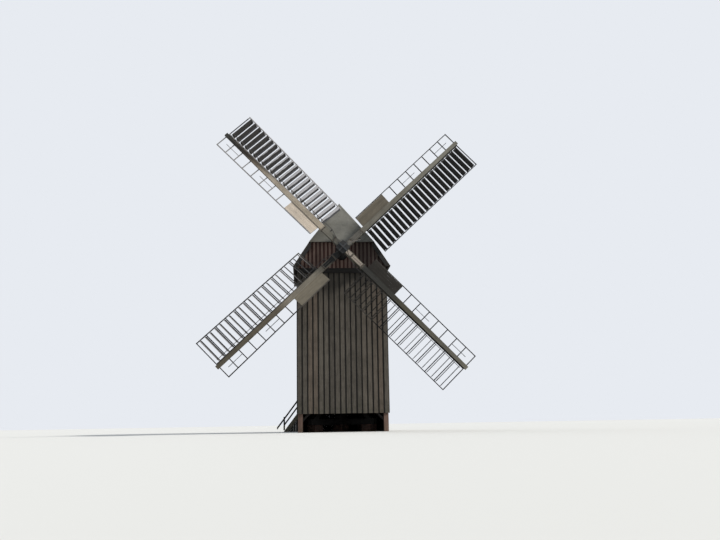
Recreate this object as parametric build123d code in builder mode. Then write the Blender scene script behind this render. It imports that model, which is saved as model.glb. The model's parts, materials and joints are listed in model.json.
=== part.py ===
"""A traditional timber windmill: a boarded body over a trestle, a half-hipped roof and four
shuttered sails on a raised windshaft. Origin on the ground under the main post, +Z up, the
sails towards -Y. Lengths are millimetres, angles degrees."""

import os
from math import atan2, cos, degrees, radians, sin, tan

from build123d import *

# Body
body_width = 5800        # over the side boarding
body_depth = 7000        # over the front and rear boarding
body_base = 1135         # lower edge of the boarding above the ground
boarding = 60            # vertical boards with their cover boards
frame_timber = 260       # square of the sills, the corner posts and the side girts
gable_overhang = 150     # how far that gable stands out from the front boarding
gable_beam_height = 300

# Roof
eave_height = 10400
gable_base = eave_height - 80   # lower edge of the overhanging front gable
eave_overhang = 213
verge_overhang = 400
ridge_height = eave_height + 4830
hip_eave_height = eave_height + 1580
hip_pitch = 50
roof_thickness = 100
ridge_cap_width = 260
ridge_cap_thickness = 25
verge_board_depth = 170
verge_board_thickness = 40

# Trestle and floor
prop_size = 300
prop_inset = 80          # from the boarding's face to the prop's face
brace_leg = 300
brace_size = 120
pier_size = 700
pier_height = 450
pier_chamfer = 25
pier_reach = 2450        # from the main post to the middle of each pier
cross_tree_length = 5900
cross_tree_width = 320
cross_tree_height = 360
quarterbar_size = 280
quarterbar_foot = 2700   # outer toe of each quarterbar, from the main post
quarterbar_pitch = 45
main_post_size = 600
crown_tree_base = 5500
crown_tree_width = 550
crown_tree_height = 550
floor_height = 3300
floor_thickness = 60
joist_width = 180
joist_height = 220
joist_places = (-2600, -900, 900, 2600)
post_collar_gap = 40
plate_base = eave_height - 60
plate_height = 300
screen_thickness = 40

# Stair, landing and rear door
stair_foot = -3870       # where the flight starts on the ground, left of the middle
stair_pitch = 53
stair_width = 900
stair_gap = 120          # from the rear boarding to the flight
tread_count = 14
tread_thickness = 40
stringer_thickness = 60
stringer_depth = 260
landing_length = 1300
landing_thickness = 50
rail_height = 930
mid_rail_height = 500
rail_size = 90
newel_size = 90
rail_overrun = 460       # how far the handrail runs on past the foot of the flight
door_width = 850
door_height = 1850
door_thickness = 50
door_trim = 110
door_trim_thickness = 35

# Windshaft and stocks
hub_height = eave_height + 900
hub_reach = 4950         # from the main post's axis to the crossing of the stocks
shaft_tilt = 5           # the front end is raised
sail_turn = 1            # how far the sails are turned past the diagonals
shaft_radius = 290
neck_radius = 240
neck_length = 420
tail_radius = 90
tail_length = 350
bearing_clearance = 0.5
shaft_hole_clearance = 70
poll_width = 660
poll_length = 860
stock_offset = 188       # each stock's axis before or behind the crossing
stock_root_width = 350
stock_root_depth = 300
stock_tip_width = 235
stock_tip_depth = 150
weather_beam_depth = 360
weather_beam_height = 400
tail_beam_depth = 240
tail_beam_height = 300
tail_bearing_place = 2700
neck_bearing_width = 800
neck_bearing_rise = 110  # block under the neck journal
tail_bearing_width = 400
tail_bearing_rise = 55

# Sails
sail_radius = 10660
tip_overrun = 150        # stock beyond the outermost bar
inner_bar = 2040         # innermost bar, from the hub
bay_count = 11
trailing_width = 1958
leading_width = 907
weather_inner = 16.6     # twist of the frame at its inner end
weather_tip = 2.9
bar_width = 60
bar_thickness = 36
rail_width = 55
rail_thickness = 60
inner_rail_gap = 48       # from the stock's edge to the middle of the inner rail
steady_bays = ((0.5, 2), (4.5, 6))
steady_size = 30
plank_bays = 3
plank_thickness = 24
plank_gap = 0.9          # the planks twist over each bar's width
plank_edge_gap = 4
plank_stock_gap = 27
shutters_a_bay = 2
shutter_edge_gap = 19    # between the edges of two closed shutters
shutter_thickness = 14
shutter_place = 0.27      # pivot's share of the way from one shutter's start to the next's
shutter_openings = {      # the four sails' shutters no longer open quite alike
    "upper_left": 57,
    "upper_right": 62,
    "lower_right": 88,
    "lower_left": 70,
}
shutter_end_gap = 14
pivot_size = 22
pivot_gap = 0.3
rod_size = 30
rod_place = 300
rod_clearance = 4
band_width = 90
band_thickness = 14
band_places = (770, 1720)
crank_place = 1300
crank_size = 80
crank_gap = 0.4
spider_reach = 350
spider_thickness = 60
spider_arm = 90
spider_boss = 55
link_gap = 0.3

half_width = body_width / 2
half_depth = body_depth / 2
inside_x = half_width - boarding
inside_y = half_depth - boarding
frame_x = inside_x - frame_timber / 2
frame_y = inside_y - frame_timber / 2
sill_top = body_base + frame_timber

os.makedirs("parts", exist_ok=True)


def save(piece, name):
    """Label a finished piece and write it as one STEP file."""
    piece.label = name
    export_step(piece, f"parts/{name}.step")


def block(x_span, y_span, z_span, mode=Mode.ADD):
    """A squared timber or slab between three pairs of limits."""
    spans = (x_span, y_span, z_span)
    middle = [(low + high) / 2 for low, high in spans]
    size = [high - low for low, high in spans]
    with Locations(tuple(middle)):
        return Box(*size, mode=mode)


# Roof planes
eave_reach = half_width + eave_overhang
roof_pitch = degrees(atan2(ridge_height - eave_height, eave_reach))
verge_reach = half_depth + verge_overhang
hip_run = (ridge_height - hip_eave_height) / tan(radians(hip_pitch))
ridge_end = verge_reach - hip_run


def slope_normal(side):
    """Outward normal of the main slope on one side, -1 left or 1 right."""
    return Vector(side * sin(radians(roof_pitch)), 0, cos(radians(roof_pitch)))


def hip_normal(end):
    """Outward normal of the half-hip at one end, -1 front or 1 rear."""
    return Vector(0, end * sin(radians(hip_pitch)), cos(radians(hip_pitch)))


def roof_form(inset, base, reach_y):
    """Everything under the roof's surface, moved inwards by the inset, down to a base height."""
    peak = ridge_height - inset / cos(radians(roof_pitch))
    base_reach = (peak - base) / tan(radians(roof_pitch))
    with BuildPart() as form:
        with BuildSketch(Plane.XZ):
            with BuildLine():
                Polyline((-base_reach, base), (0, peak), (base_reach, base), close=True)
            make_face()
        extrude(amount=reach_y, both=True)
        for end in (-1, 1):
            crest = Vector(0, end * ridge_end, ridge_height) - hip_normal(end) * inset
            split(bisect_by=Plane(origin=crest, z_dir=hip_normal(end)), keep=Keep.BOTTOM)
    return form.part


def hip_mitre(side, end):
    """Plane through the hip line where a main slope meets a half-hip; it faces the slope."""
    crest = (0, end * ridge_end, ridge_height)
    return Plane(origin=crest, z_dir=slope_normal(side) - hip_normal(end))


under_roof = roof_form(roof_thickness, 0, 2 * verge_reach)
with BuildPart() as roof_shell:
    add(roof_form(0, eave_height, verge_reach))
    add(under_roof, mode=Mode.SUBTRACT)


def main_slope(side):
    """One main slope of the roof, mitred at the ridge and at both hips."""
    with BuildPart() as slope:
        add(roof_shell.part)
        split(bisect_by=Plane(origin=(0, 0, 0), z_dir=(side, 0, 0)))
        for end in (-1, 1):
            split(bisect_by=hip_mitre(side, end))
    return slope.part


def half_hip(end):
    """The half-hip at one end, cut level at its eave."""
    with BuildPart() as hip:
        add(roof_shell.part)
        split(bisect_by=Plane(origin=(0, 0, 0), z_dir=(0, end, 0)))
        for side in (-1, 1):
            split(bisect_by=hip_mitre(side, end), keep=Keep.BOTTOM)
        split(bisect_by=Plane.XY.offset(hip_eave_height))
    return hip.part


save(main_slope(-1), "roof_left")
save(main_slope(1), "roof_right")
save(half_hip(-1), "roof_front_hip")
save(half_hip(1), "roof_rear_hip")

with BuildPart() as ridge_cap:
    cap_drop = ridge_cap_width / 2 * tan(radians(roof_pitch))
    cap_rise = ridge_cap_thickness / cos(radians(roof_pitch))
    with BuildSketch(Plane.XZ):
        with BuildLine():
            Polyline(
                (-ridge_cap_width / 2, ridge_height - cap_drop),
                (0, ridge_height),
                (ridge_cap_width / 2, ridge_height - cap_drop),
                (ridge_cap_width / 2, ridge_height - cap_drop + cap_rise),
                (0, ridge_height + cap_rise),
                (-ridge_cap_width / 2, ridge_height - cap_drop + cap_rise),
                close=True,
            )
        make_face()
    extrude(amount=ridge_end, both=True)
save(ridge_cap.part, "ridge_cap")

# Boards under the four sloping verges, against the underside of the roof
verge_drop = verge_board_depth / cos(radians(roof_pitch))
under_ridge = ridge_height - roof_thickness / cos(radians(roof_pitch))
hip_corner = (ridge_height - hip_eave_height) / tan(radians(roof_pitch))
hip_trim = roof_thickness / sin(radians(roof_pitch))


def underside(x):
    """Height of the main slope's underside at a distance from the middle."""
    return under_ridge - abs(x) * tan(radians(roof_pitch))


with BuildPart() as verge_boards:
    for end in (-1, 1):
        for side in (-1, 1):
            top = hip_corner - hip_trim
            foot = eave_reach - hip_trim
            with BuildSketch(Plane.XZ.offset(-end * (verge_reach - verge_board_thickness / 2))):
                with BuildLine():
                    Polyline(
                        (side * top, underside(top)),
                        (side * foot, underside(foot)),
                        (side * (foot - verge_drop / tan(radians(roof_pitch))), underside(foot)),
                        (side * top, underside(top) - verge_drop),
                        close=True,
                    )
                make_face()
            extrude(amount=verge_board_thickness / 2, both=True)
save(verge_boards.part, "verge_boards")

# Boarded walls
with BuildPart() as wall_front:
    block((-half_width, half_width), (-half_depth, -inside_y), (body_base, gable_base))
save(wall_front.part, "wall_front")

for side, side_name in ((-1, "left"), (1, "right")):
    with BuildPart() as wall_side:
        outer_x = sorted((side * inside_x, side * half_width))
        block(outer_x, (-inside_y, inside_y), (body_base, ridge_height))
        add(under_roof, mode=Mode.INTERSECT)
    save(wall_side.part, f"wall_{side_name}")

landing_start = stair_foot + floor_height / tan(radians(stair_pitch))
landing_end = landing_start + landing_length
door_middle = (landing_start + landing_end) / 2
door_x = (door_middle - door_width / 2, door_middle + door_width / 2)
door_z = (floor_height, floor_height + door_height)

with BuildPart() as wall_rear:
    block((-half_width, half_width), (inside_y, half_depth), (body_base, ridge_height))
    add(under_roof, mode=Mode.INTERSECT)
    block(door_x, (inside_y, half_depth), door_z, mode=Mode.SUBTRACT)
save(wall_rear.part, "wall_rear")

# Front gable, which overhangs the wall on a beam and lets the windshaft through
rotor_plane = Plane(
    origin=(0, -hub_reach, hub_height),
    x_dir=(1, 0, 0),
    z_dir=(0, -cos(radians(shaft_tilt)), sin(radians(shaft_tilt))),
)
gable_face = half_depth + gable_overhang


def shaft_height(y):
    """Height of the windshaft's axis at a place along the mill."""
    return hub_height - (hub_reach + y) * tan(radians(shaft_tilt))


with BuildPart() as gable_front:
    block((-half_width, half_width), (-gable_face, -inside_y), (gable_base, ridge_height))
    add(under_roof, mode=Mode.INTERSECT)
    with BuildSketch(rotor_plane):
        Circle(shaft_radius + shaft_hole_clearance)
    extrude(amount=-hub_reach, mode=Mode.SUBTRACT)
save(gable_front.part, "gable_front")

with BuildPart() as gable_beam:
    beam_y = (-half_depth - gable_overhang * 0.8, -half_depth)
    block((-half_width, half_width), beam_y, (gable_base - gable_beam_height, gable_base))
save(gable_beam.part, "gable_beam")

# Timber frame inside the boarding
with BuildPart() as corner_posts:
    with Locations((0, 0, (sill_top + plate_base) / 2)):
        with GridLocations(2 * frame_x, 2 * frame_y, 2, 2):
            Box(frame_timber, frame_timber, plate_base - sill_top)
save(corner_posts.part, "corner_posts")

with BuildPart() as side_sills:
    with Locations((0, 0, body_base + frame_timber / 2)):
        with GridLocations(2 * frame_x, 0, 2, 1):
            Box(frame_timber, 2 * inside_y, frame_timber)
save(side_sills.part, "side_sills")

with BuildPart() as end_sills:
    with Locations((0, 0, body_base + frame_timber / 2)):
        with GridLocations(0, 2 * frame_y, 1, 2):
            Box(2 * (inside_x - frame_timber), frame_timber, frame_timber)
save(end_sills.part, "end_sills")

with BuildPart() as wall_plates:
    with Locations((0, 0, plate_base + plate_height / 2)):
        with GridLocations(2 * frame_x, 0, 2, 1):
            Box(frame_timber, 2 * inside_y, plate_height)
    add(under_roof, mode=Mode.INTERSECT)
save(wall_plates.part, "wall_plates")

with BuildPart() as crown_tree:
    crown_z = (crown_tree_base, crown_tree_base + crown_tree_height)
    block((-inside_x, inside_x), (-crown_tree_width / 2, crown_tree_width / 2), crown_z)
save(crown_tree.part, "crown_tree")

with BuildPart() as side_girts:
    with Locations((0, 0, crown_tree_base + crown_tree_height + frame_timber / 2)):
        with GridLocations(2 * frame_x, 0, 2, 1):
            Box(frame_timber, 2 * (inside_y - frame_timber), frame_timber)
save(side_girts.part, "side_girts")

# Floor of the body, round the main post
with BuildPart() as floor_joists:
    joist_top = floor_height - floor_thickness
    for place in joist_places:
        joist_y = (place - joist_width / 2, place + joist_width / 2)
        block((-inside_x, inside_x), joist_y, (joist_top - joist_height, joist_top))
save(floor_joists.part, "floor_joists")

with BuildPart() as floor:
    with BuildSketch(Plane.XY.offset(floor_height)):
        Rectangle(2 * inside_x, 2 * inside_y)
        with GridLocations(2 * frame_x, 2 * frame_y, 2, 2):
            Rectangle(frame_timber, frame_timber, mode=Mode.SUBTRACT)
        collar = main_post_size + 2 * post_collar_gap
        Rectangle(collar, collar, rotation=45, mode=Mode.SUBTRACT)
    extrude(amount=-floor_thickness)
save(floor.part, "floor")

# Trestle: piers, cross trees, quarterbars and main post
with BuildPart() as piers:
    with BuildSketch():
        Rectangle(pier_size, pier_size, rotation=45)
        with PolarLocations(pier_reach, 4, start_angle=45):
            Rectangle(pier_size, pier_size)
    extrude(amount=pier_height)
    chamfer(piers.faces().filter_by_position(Axis.Z, pier_height, pier_height).edges(), pier_chamfer)
save(piers.part, "piers")

cross_tree_top = pier_height + cross_tree_height


def cross_tree(angle, notch_low, notch_high):
    """One sleeper of the trestle, halved over the other where they cross."""
    with BuildPart() as tree:
        with BuildSketch(Plane.XY.offset(pier_height)):
            Rectangle(cross_tree_length, cross_tree_width, rotation=angle)
        extrude(amount=cross_tree_height)
        with BuildSketch(Plane.XY.offset(notch_low)):
            Rectangle(cross_tree_width, cross_tree_width, rotation=angle)
        extrude(amount=notch_high - notch_low, mode=Mode.SUBTRACT)
    return tree.part


cross_tree_middle = pier_height + cross_tree_height / 2
save(cross_tree(45, cross_tree_middle, cross_tree_top), "cross_tree_lower")
save(cross_tree(-45, pier_height, cross_tree_middle), "cross_tree_upper")

with BuildPart() as quarterbars:
    rise = tan(radians(quarterbar_pitch))
    heel = quarterbar_foot - quarterbar_size / sin(radians(quarterbar_pitch))
    post_face = main_post_size / 2
    for angle in (45, 135, 225, 315):
        with BuildSketch(Plane.XZ.rotated((0, 0, angle))):
            with BuildLine():
                Polyline(
                    (quarterbar_foot, cross_tree_top),
                    (heel, cross_tree_top),
                    (post_face, cross_tree_top + (heel - post_face) * rise),
                    (post_face, cross_tree_top + (quarterbar_foot - post_face) * rise),
                    close=True,
                )
            make_face()
        extrude(amount=quarterbar_size / 2, both=True)
save(quarterbars.part, "quarterbars")

with BuildPart() as main_post:
    with BuildSketch(Plane.XY.offset(cross_tree_top)):
        Rectangle(main_post_size, main_post_size, rotation=45)
    extrude(amount=crown_tree_base - cross_tree_top)
    chamfer(main_post.edges().filter_by(Axis.Z), main_post_size / 12)
save(main_post.part, "main_post")

# Props under the four corners, each with a knee brace to the sill
prop_x = half_width - prop_inset - prop_size / 2
prop_y = half_depth - boarding - prop_size / 2
with BuildPart() as corner_props:
    with Locations((0, 0, body_base / 2)):
        with GridLocations(2 * prop_x, 2 * prop_y, 2, 2):
            Box(prop_size, prop_size, body_base)
    prop_face = prop_x - prop_size / 2
    brace_run = brace_leg + brace_size * 2 ** 0.5
    for end in (-1, 1):
        for side in (-1, 1):
            with BuildSketch(Plane.XZ.offset(-end * prop_y)):
                with BuildLine():
                    Polyline(
                        (side * prop_face, body_base - brace_leg),
                        (side * prop_face, body_base - brace_run),
                        (side * (prop_face - brace_run), body_base),
                        (side * (prop_face - brace_leg), body_base),
                        close=True,
                    )
                make_face()
            extrude(amount=brace_size / 2, both=True)
save(corner_props.part, "corner_props")

# Dark boards that close the trestle at the sides and the rear
with BuildPart() as side_screens:
    with Locations((0, 0, body_base / 2)):
        with GridLocations(2 * prop_x, 0, 2, 1):
            Box(screen_thickness, 2 * prop_y - prop_size, body_base)
save(side_screens.part, "side_screens")

with BuildPart() as rear_screen:
    block((-prop_face, prop_face), (inside_y - screen_thickness, inside_y), (0, body_base))
save(rear_screen.part, "rear_screen")

# Stair along the rear wall, up to a landing at the door
stair_slope = tan(radians(stair_pitch))
stair_near = half_depth + stair_gap
stair_far = stair_near + stair_width
stringer_drop = stringer_depth / cos(radians(stair_pitch))
landing_top = floor_height
landing_under = landing_top - landing_thickness
stringer_planes = (stair_near + stringer_thickness, stair_far)

with BuildPart() as stair_stringers:
    for y in stringer_planes:
        with BuildSketch(Plane.XZ.offset(-y)):
            with BuildLine():
                Polyline(
                    (stair_foot, 0),
                    (stair_foot + stringer_drop / stair_slope, 0),
                    (landing_start, landing_under - stringer_drop + landing_thickness),
                    (landing_start, landing_under),
                    (landing_start - landing_thickness / stair_slope, landing_under),
                    close=True,
                )
            make_face()
        extrude(amount=stringer_thickness)
save(stair_stringers.part, "stair_stringers")

rise_each = floor_height / (tread_count + 1)
going = rise_each / stair_slope
with BuildPart() as stair_treads:
    for step in range(1, tread_count + 1):
        tread_top = step * rise_each
        nose = stair_foot + tread_top / stair_slope
        tread_y = (stair_near + stringer_thickness, stair_far - stringer_thickness)
        block((nose, nose + going), tread_y, (tread_top - tread_thickness, tread_top))
save(stair_treads.part, "stair_treads")

with BuildPart() as landing:
    block((landing_start, landing_end), (half_depth, stair_far), (landing_under, landing_top))
    for x in (landing_start + newel_size / 2, landing_end - newel_size / 2):
        post_x = (x - newel_size / 2, x + newel_size / 2)
        block(post_x, (stair_far - newel_size, stair_far), (0, landing_under))
        bearer_z = (landing_under - stringer_depth / 2, landing_under)
        block(post_x, (half_depth, stair_far - newel_size), bearer_z)
save(landing.part, "landing")


def sloping_rail(height, y, start, stop):
    """A rail parallel to the flight, over the far or the near stringer."""
    thick = rail_size / cos(radians(stair_pitch))
    low = (start - stair_foot) * stair_slope + height
    high = (stop - stair_foot) * stair_slope + height
    with BuildSketch(Plane.XZ.offset(-y)) as profile:
        with BuildLine():
            Polyline((start, low), (stop, high), (stop, high - thick), (start, low - thick), close=True)
        make_face()
    extrude(profile.sketch, amount=rail_size)


with BuildPart() as handrails:
    newel_lift = (stair_foot + newel_size, stair_foot + (landing_start - stair_foot) / 2)
    for y in stringer_planes:
        sloping_rail(rail_height, y, stair_foot - rail_overrun, landing_start)
        sloping_rail(mid_rail_height, y, stair_foot, landing_start)
        for x in newel_lift:
            base_z = (x - stair_foot) * stair_slope
            newel_x = (x - newel_size, x)
            block(newel_x, (y - rail_size, y), (base_z, base_z + rail_height))
    rail_top = landing_top + rail_height
    for x in (landing_start, landing_end - newel_size):
        block((x, x + newel_size), (stair_far - rail_size, stair_far), (landing_top, rail_top))
    for height in (mid_rail_height, rail_height):
        rail_z = (landing_top + height - rail_size, landing_top + height)
        block((landing_start, landing_end), (stair_far - rail_size, stair_far), rail_z)
        block((landing_end - rail_size, landing_end), (half_depth, stair_far), rail_z)
    block((landing_end - newel_size, landing_end), (half_depth, half_depth + rail_size), (landing_top, rail_top))
save(handrails.part, "handrails")

with BuildPart() as stair_boarding:
    skirt_start = stair_foot + stringer_drop / stair_slope
    with BuildSketch(Plane.XZ.offset(-stair_near)):
        with BuildLine():
            Polyline(
                (skirt_start, 0),
                (landing_start, 0),
                (landing_start, landing_under - stringer_drop + landing_thickness),
                close=True,
            )
        make_face()
    extrude(amount=-screen_thickness)
save(stair_boarding.part, "stair_boarding")

with BuildPart() as rear_door:
    block(door_x, (inside_y, inside_y + door_thickness), door_z)
save(rear_door.part, "rear_door")

with BuildPart() as door_trim_boards:
    with BuildSketch(Plane.XZ.offset(-half_depth)):
        trim_width = door_width + 2 * door_trim
        with Locations((door_middle, floor_height + (door_height + door_trim) / 2)):
            Rectangle(trim_width, door_height + door_trim)
        with Locations((door_middle, floor_height + door_height / 2)):
            Rectangle(door_width, door_height, mode=Mode.SUBTRACT)
    extrude(amount=-door_trim_thickness)
save(door_trim_boards.part, "door_trim")

# Beams and bearings that carry the windshaft
weather_y = (-inside_y, -inside_y + weather_beam_depth)
weather_middle = sum(weather_y) / 2
weather_top = shaft_height(weather_middle) - neck_radius - neck_bearing_rise
with BuildPart() as weather_beam:
    block((-inside_x, inside_x), weather_y, (weather_top - weather_beam_height, weather_top))
    add(under_roof, mode=Mode.INTERSECT)
    add(wall_plates.part, mode=Mode.SUBTRACT)
save(weather_beam.part, "weather_beam")

tail_y = (tail_bearing_place - tail_beam_depth / 2, tail_bearing_place + tail_beam_depth / 2)
tail_top = shaft_height(tail_bearing_place) - tail_radius - tail_bearing_rise
with BuildPart() as tail_beam:
    block((-inside_x, inside_x), tail_y, (tail_top - tail_beam_height, tail_top))
    add(wall_plates.part, mode=Mode.SUBTRACT)
save(tail_beam.part, "tail_beam")


def half_round_bearing(y_span, top, width, journal):
    """Bearing block on its beam, hollowed for the journal with a running clearance."""
    axis_z = shaft_height(sum(y_span) / 2)
    with BuildPart() as bearing:
        block((-width / 2, width / 2), y_span, (top, axis_z))
        with BuildSketch(rotor_plane):
            Circle(journal + bearing_clearance)
        extrude(amount=-2 * hub_reach, mode=Mode.SUBTRACT)
    return bearing.part


save(half_round_bearing(weather_y, weather_top, neck_bearing_width, neck_radius), "neck_bearing")
save(half_round_bearing(tail_y, tail_top, tail_bearing_width, tail_radius), "tail_bearing")

# Windshaft: sixteen-sided timber with a round neck and a tail journal
neck_middle = (hub_reach + weather_middle) / cos(radians(shaft_tilt))
tail_middle = (hub_reach + tail_bearing_place) / cos(radians(shaft_tilt))
neck_start = -neck_middle + neck_length / 2
neck_end = -neck_middle - neck_length / 2
tail_start = -tail_middle + tail_length / 2
with BuildPart() as windshaft:
    with BuildSketch(rotor_plane.offset(neck_start)):
        RegularPolygon(shaft_radius, 16)
    extrude(amount=-poll_length / 2 - neck_start)
    with BuildSketch(rotor_plane.offset(neck_start)):
        Circle(neck_radius)
    extrude(amount=-neck_length)
    with BuildSketch(rotor_plane.offset(neck_end)):
        RegularPolygon(shaft_radius, 16)
    extrude(amount=tail_start - neck_end)
    with BuildSketch(rotor_plane.offset(tail_start)):
        Circle(tail_radius)
    extrude(amount=-tail_length)
save(windshaft.part, "windshaft")

# Sails. Each is drawn pointing up in its own plane: y out along the stock, x to the
# trailing side, z forwards, and twisted about the stock by its weather
sail_names = ("upper_left", "upper_right", "lower_right", "lower_left")
sail_angles = {name: -45 + 90 * turn + sail_turn for turn, name in enumerate(sail_names)}
outer_bar = sail_radius - tip_overrun
bay = (outer_bar - inner_bar) / bay_count
shutter_pitch = bay / shutters_a_bay
shutter_chord = shutter_pitch - shutter_edge_gap


def turned_plane(angle, forward):
    """Plane across the windshaft, turned clockwise as seen from the front."""
    return Plane(rotor_plane.location * Location((0, 0, forward), (0, 0, -angle)))


def sail_plane(name):
    """Plane of one sail, in front of or behind the crossing as its stock is."""
    forward = stock_offset if name in ("upper_left", "lower_right") else -stock_offset
    return turned_plane(sail_angles[name], forward)


def weather(radius):
    """Twist of the sail at a distance from the hub."""
    share = (radius - inner_bar) / (outer_bar - inner_bar)
    across = cos(radians(weather_inner)) * (1 - share) + cos(radians(weather_tip)) * share
    back = sin(radians(weather_inner)) * (1 - share) + sin(radians(weather_tip)) * share
    return Vector(across, 0, -back)


def stock_half_width(radius):
    """Half the width of a tapered stock at a distance from the hub."""
    share = (radius - poll_width / 2) / (sail_radius - poll_width / 2)
    return (stock_root_width + (stock_tip_width - stock_root_width) * share) / 2


def station(sail, radius, across=0, forward=0):
    """Plane at a place on a twisted sail: x across it, y out along the stock, z off its face."""
    twist = degrees(atan2(-weather(radius).Z, weather(radius).X))
    reach = across * weather(radius).length
    at = sail.location * Location((0, radius, 0), (0, twist, 0)) * Location((reach, 0, forward))
    return Plane(at)


def straight_bar(start, stop, width, thickness):
    """A bar between two stations, square to the line that joins them."""
    line = stop.origin - start.origin
    across = (start.x_dir + stop.x_dir) / 2
    with BuildSketch(Plane(origin=start.origin, x_dir=across, z_dir=line)) as section:
        Rectangle(width, thickness)
    extrude(section.sketch, amount=line.length)


def sail_frame(sail):
    """Cross bars through the stock, three long rails and the short steadying rods."""
    first = inner_bar - bar_width / 2
    last = outer_bar + bar_width / 2
    with BuildPart() as frame:
        for number in range(bay_count + 1):
            at = station(sail, inner_bar + number * bay)
            stretch = weather(inner_bar + number * bay).length
            with BuildSketch(at):
                with Locations(((trailing_width - leading_width) / 2 * stretch, 0)):
                    Rectangle((trailing_width + leading_width) * stretch, bar_width)
            extrude(amount=bar_thickness / 2, both=True)
        inner_places = [stock_half_width(radius) + inner_rail_gap for radius in (first, last)]
        for places in ([-leading_width] * 2, inner_places, [trailing_width] * 2):
            ends = [station(sail, first, places[0]), station(sail, last, places[1])]
            straight_bar(*ends, rail_width, rail_thickness)
        for near_tip, far in steady_bays:
            radii = (outer_bar - far * bay, outer_bar - near_tip * bay)
            ends = [station(sail, radius, -leading_width / 2) for radius in radii]
            straight_bar(*ends, steady_size, steady_size)
    return frame.part


def inner_rail_reach(radius):
    """How far across the twisted sail its inner rail lies; it runs straight beside the stock."""
    share = (radius - inner_bar) / (outer_bar - inner_bar)
    ends = [weather(end) * (stock_half_width(end) + inner_rail_gap) for end in (inner_bar, outer_bar)]
    return (ends[0] * (1 - share) + ends[1] * share).dot(weather(radius).normalized())


def shutter_set(sail, opening):
    """The shutters of one sail, all turned open alike on their pivots."""
    rail_twist = (weather_inner + weather_tip) / 2
    with BuildPart() as shutters:
        for number in range(bay_count * shutters_a_bay):
            radius = inner_bar + (number + shutter_place) * shutter_pitch
            twist = degrees(atan2(-weather(radius).Z, weather(radius).X))
            lean = abs(tan(radians(twist - rail_twist)))
            gap = rail_width / 2 + pivot_gap + pivot_size * 0.6 * lean
            low = inner_rail_reach(radius) + gap
            high = trailing_width * weather(radius).length - gap
            blade = Plane(station(sail, radius).location * Location((0, 0, 0), (opening, 0, 0)))
            with BuildSketch(blade):
                with Locations(((low + high) / 2, 0)):
                    Rectangle(high - low - 2 * shutter_end_gap, shutter_chord)
                    Rectangle(high - low, pivot_size)
            extrude(amount=shutter_thickness / 2, both=True)
    return shutters.part


sail_planes = {name: sail_plane(name) for name in sail_names}
sail_frames = {}
for name, sail in sail_planes.items():
    sail_frames[name] = sail_frame(sail)
    save(sail_frames[name], f"sail_frame_{name}")
    save(shutter_set(sail, shutter_openings[name]), f"shutters_{name}")

# Planks over the inner bays of each leading side, on the front of the bars
with BuildPart() as leading_planks:
    plank_low = -leading_width + rail_width / 2 + plank_edge_gap
    plank_base = max(bar_thickness, steady_size) / 2 + plank_gap
    for sail in sail_planes.values():
        for radius in (inner_bar - bar_width / 2, inner_bar + plank_bays * bay + bar_width / 2):
            plank_high = -stock_half_width(radius) - plank_stock_gap
            middle = (plank_low + plank_high) / 2
            at = station(sail, radius, middle, plank_base + plank_thickness / 2)
            end_plane = Plane(origin=at.origin, x_dir=at.x_dir, z_dir=sail.y_dir)
            with BuildSketch(end_plane):
                Rectangle((plank_high - plank_low) * weather(radius).length, plank_thickness)
        loft(ruled=True)
save(leading_planks.part, "leading_planks")


def stock(name, opposite):
    """One stock through the hub, tapered to both tips, with mortises for its two sails' bars."""
    sail = sail_planes[name]
    straight = poll_width / 2
    sections = (
        (-sail_radius, stock_tip_width, stock_tip_depth),
        (-straight, stock_root_width, stock_root_depth),
        (straight, stock_root_width, stock_root_depth),
        (sail_radius, stock_tip_width, stock_tip_depth),
    )
    with BuildPart() as beam:
        for place, width, depth in sections:
            origin = sail.origin + sail.y_dir * place
            with BuildSketch(Plane(origin=origin, x_dir=sail.x_dir, z_dir=sail.y_dir)):
                Rectangle(width, depth)
        loft(ruled=True)
        add(sail_frames[name], mode=Mode.SUBTRACT)
        add(sail_frames[opposite], mode=Mode.SUBTRACT)
    return beam.part


stocks = {
    "stock_outer": stock("upper_left", "lower_right"),
    "stock_inner": stock("upper_right", "lower_left"),
}
for name, beam in stocks.items():
    save(beam, name)

with BuildPart() as poll_end:
    with BuildSketch(turned_plane(45 + sail_turn, -poll_length / 2)):
        Rectangle(poll_width, poll_width)
    extrude(amount=poll_length)
    chamfer(poll_end.edges().group_by(SortBy.LENGTH)[-1], poll_width / 10)
    for beam in stocks.values():
        add(beam, mode=Mode.SUBTRACT)
save(poll_end.part, "poll_end")

with BuildPart() as stock_bands:
    for sail in sail_planes.values():
        for place in band_places:
            with Locations(Plane(sail.location * Location((0, place, 0)))):
                width = stock_root_width + 2 * band_thickness
                Box(width, band_width, stock_root_depth + 2 * band_thickness)
    for beam in stocks.values():
        add(beam, mode=Mode.SUBTRACT)
save(stock_bands.part, "stock_bands")

# Striking gear: spider, cranks on the stocks and a rod along each sail's shutters
spider_front = poll_length / 2
with BuildPart() as spider:
    with BuildSketch(turned_plane(45 + sail_turn, spider_front)):
        Circle(spider_arm)
        Rectangle(2 * spider_reach, spider_arm)
        Rectangle(spider_arm, 2 * spider_reach)
    extrude(amount=spider_thickness)
    with BuildSketch(rotor_plane.offset(spider_front + spider_thickness)):
        Circle(spider_boss)
    extrude(amount=spider_thickness)
save(spider.part, "spider")

rod_forward = shutter_chord / 2 + rod_clearance + rod_size / 2
link_forward = spider_front + spider_thickness / 2


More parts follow.
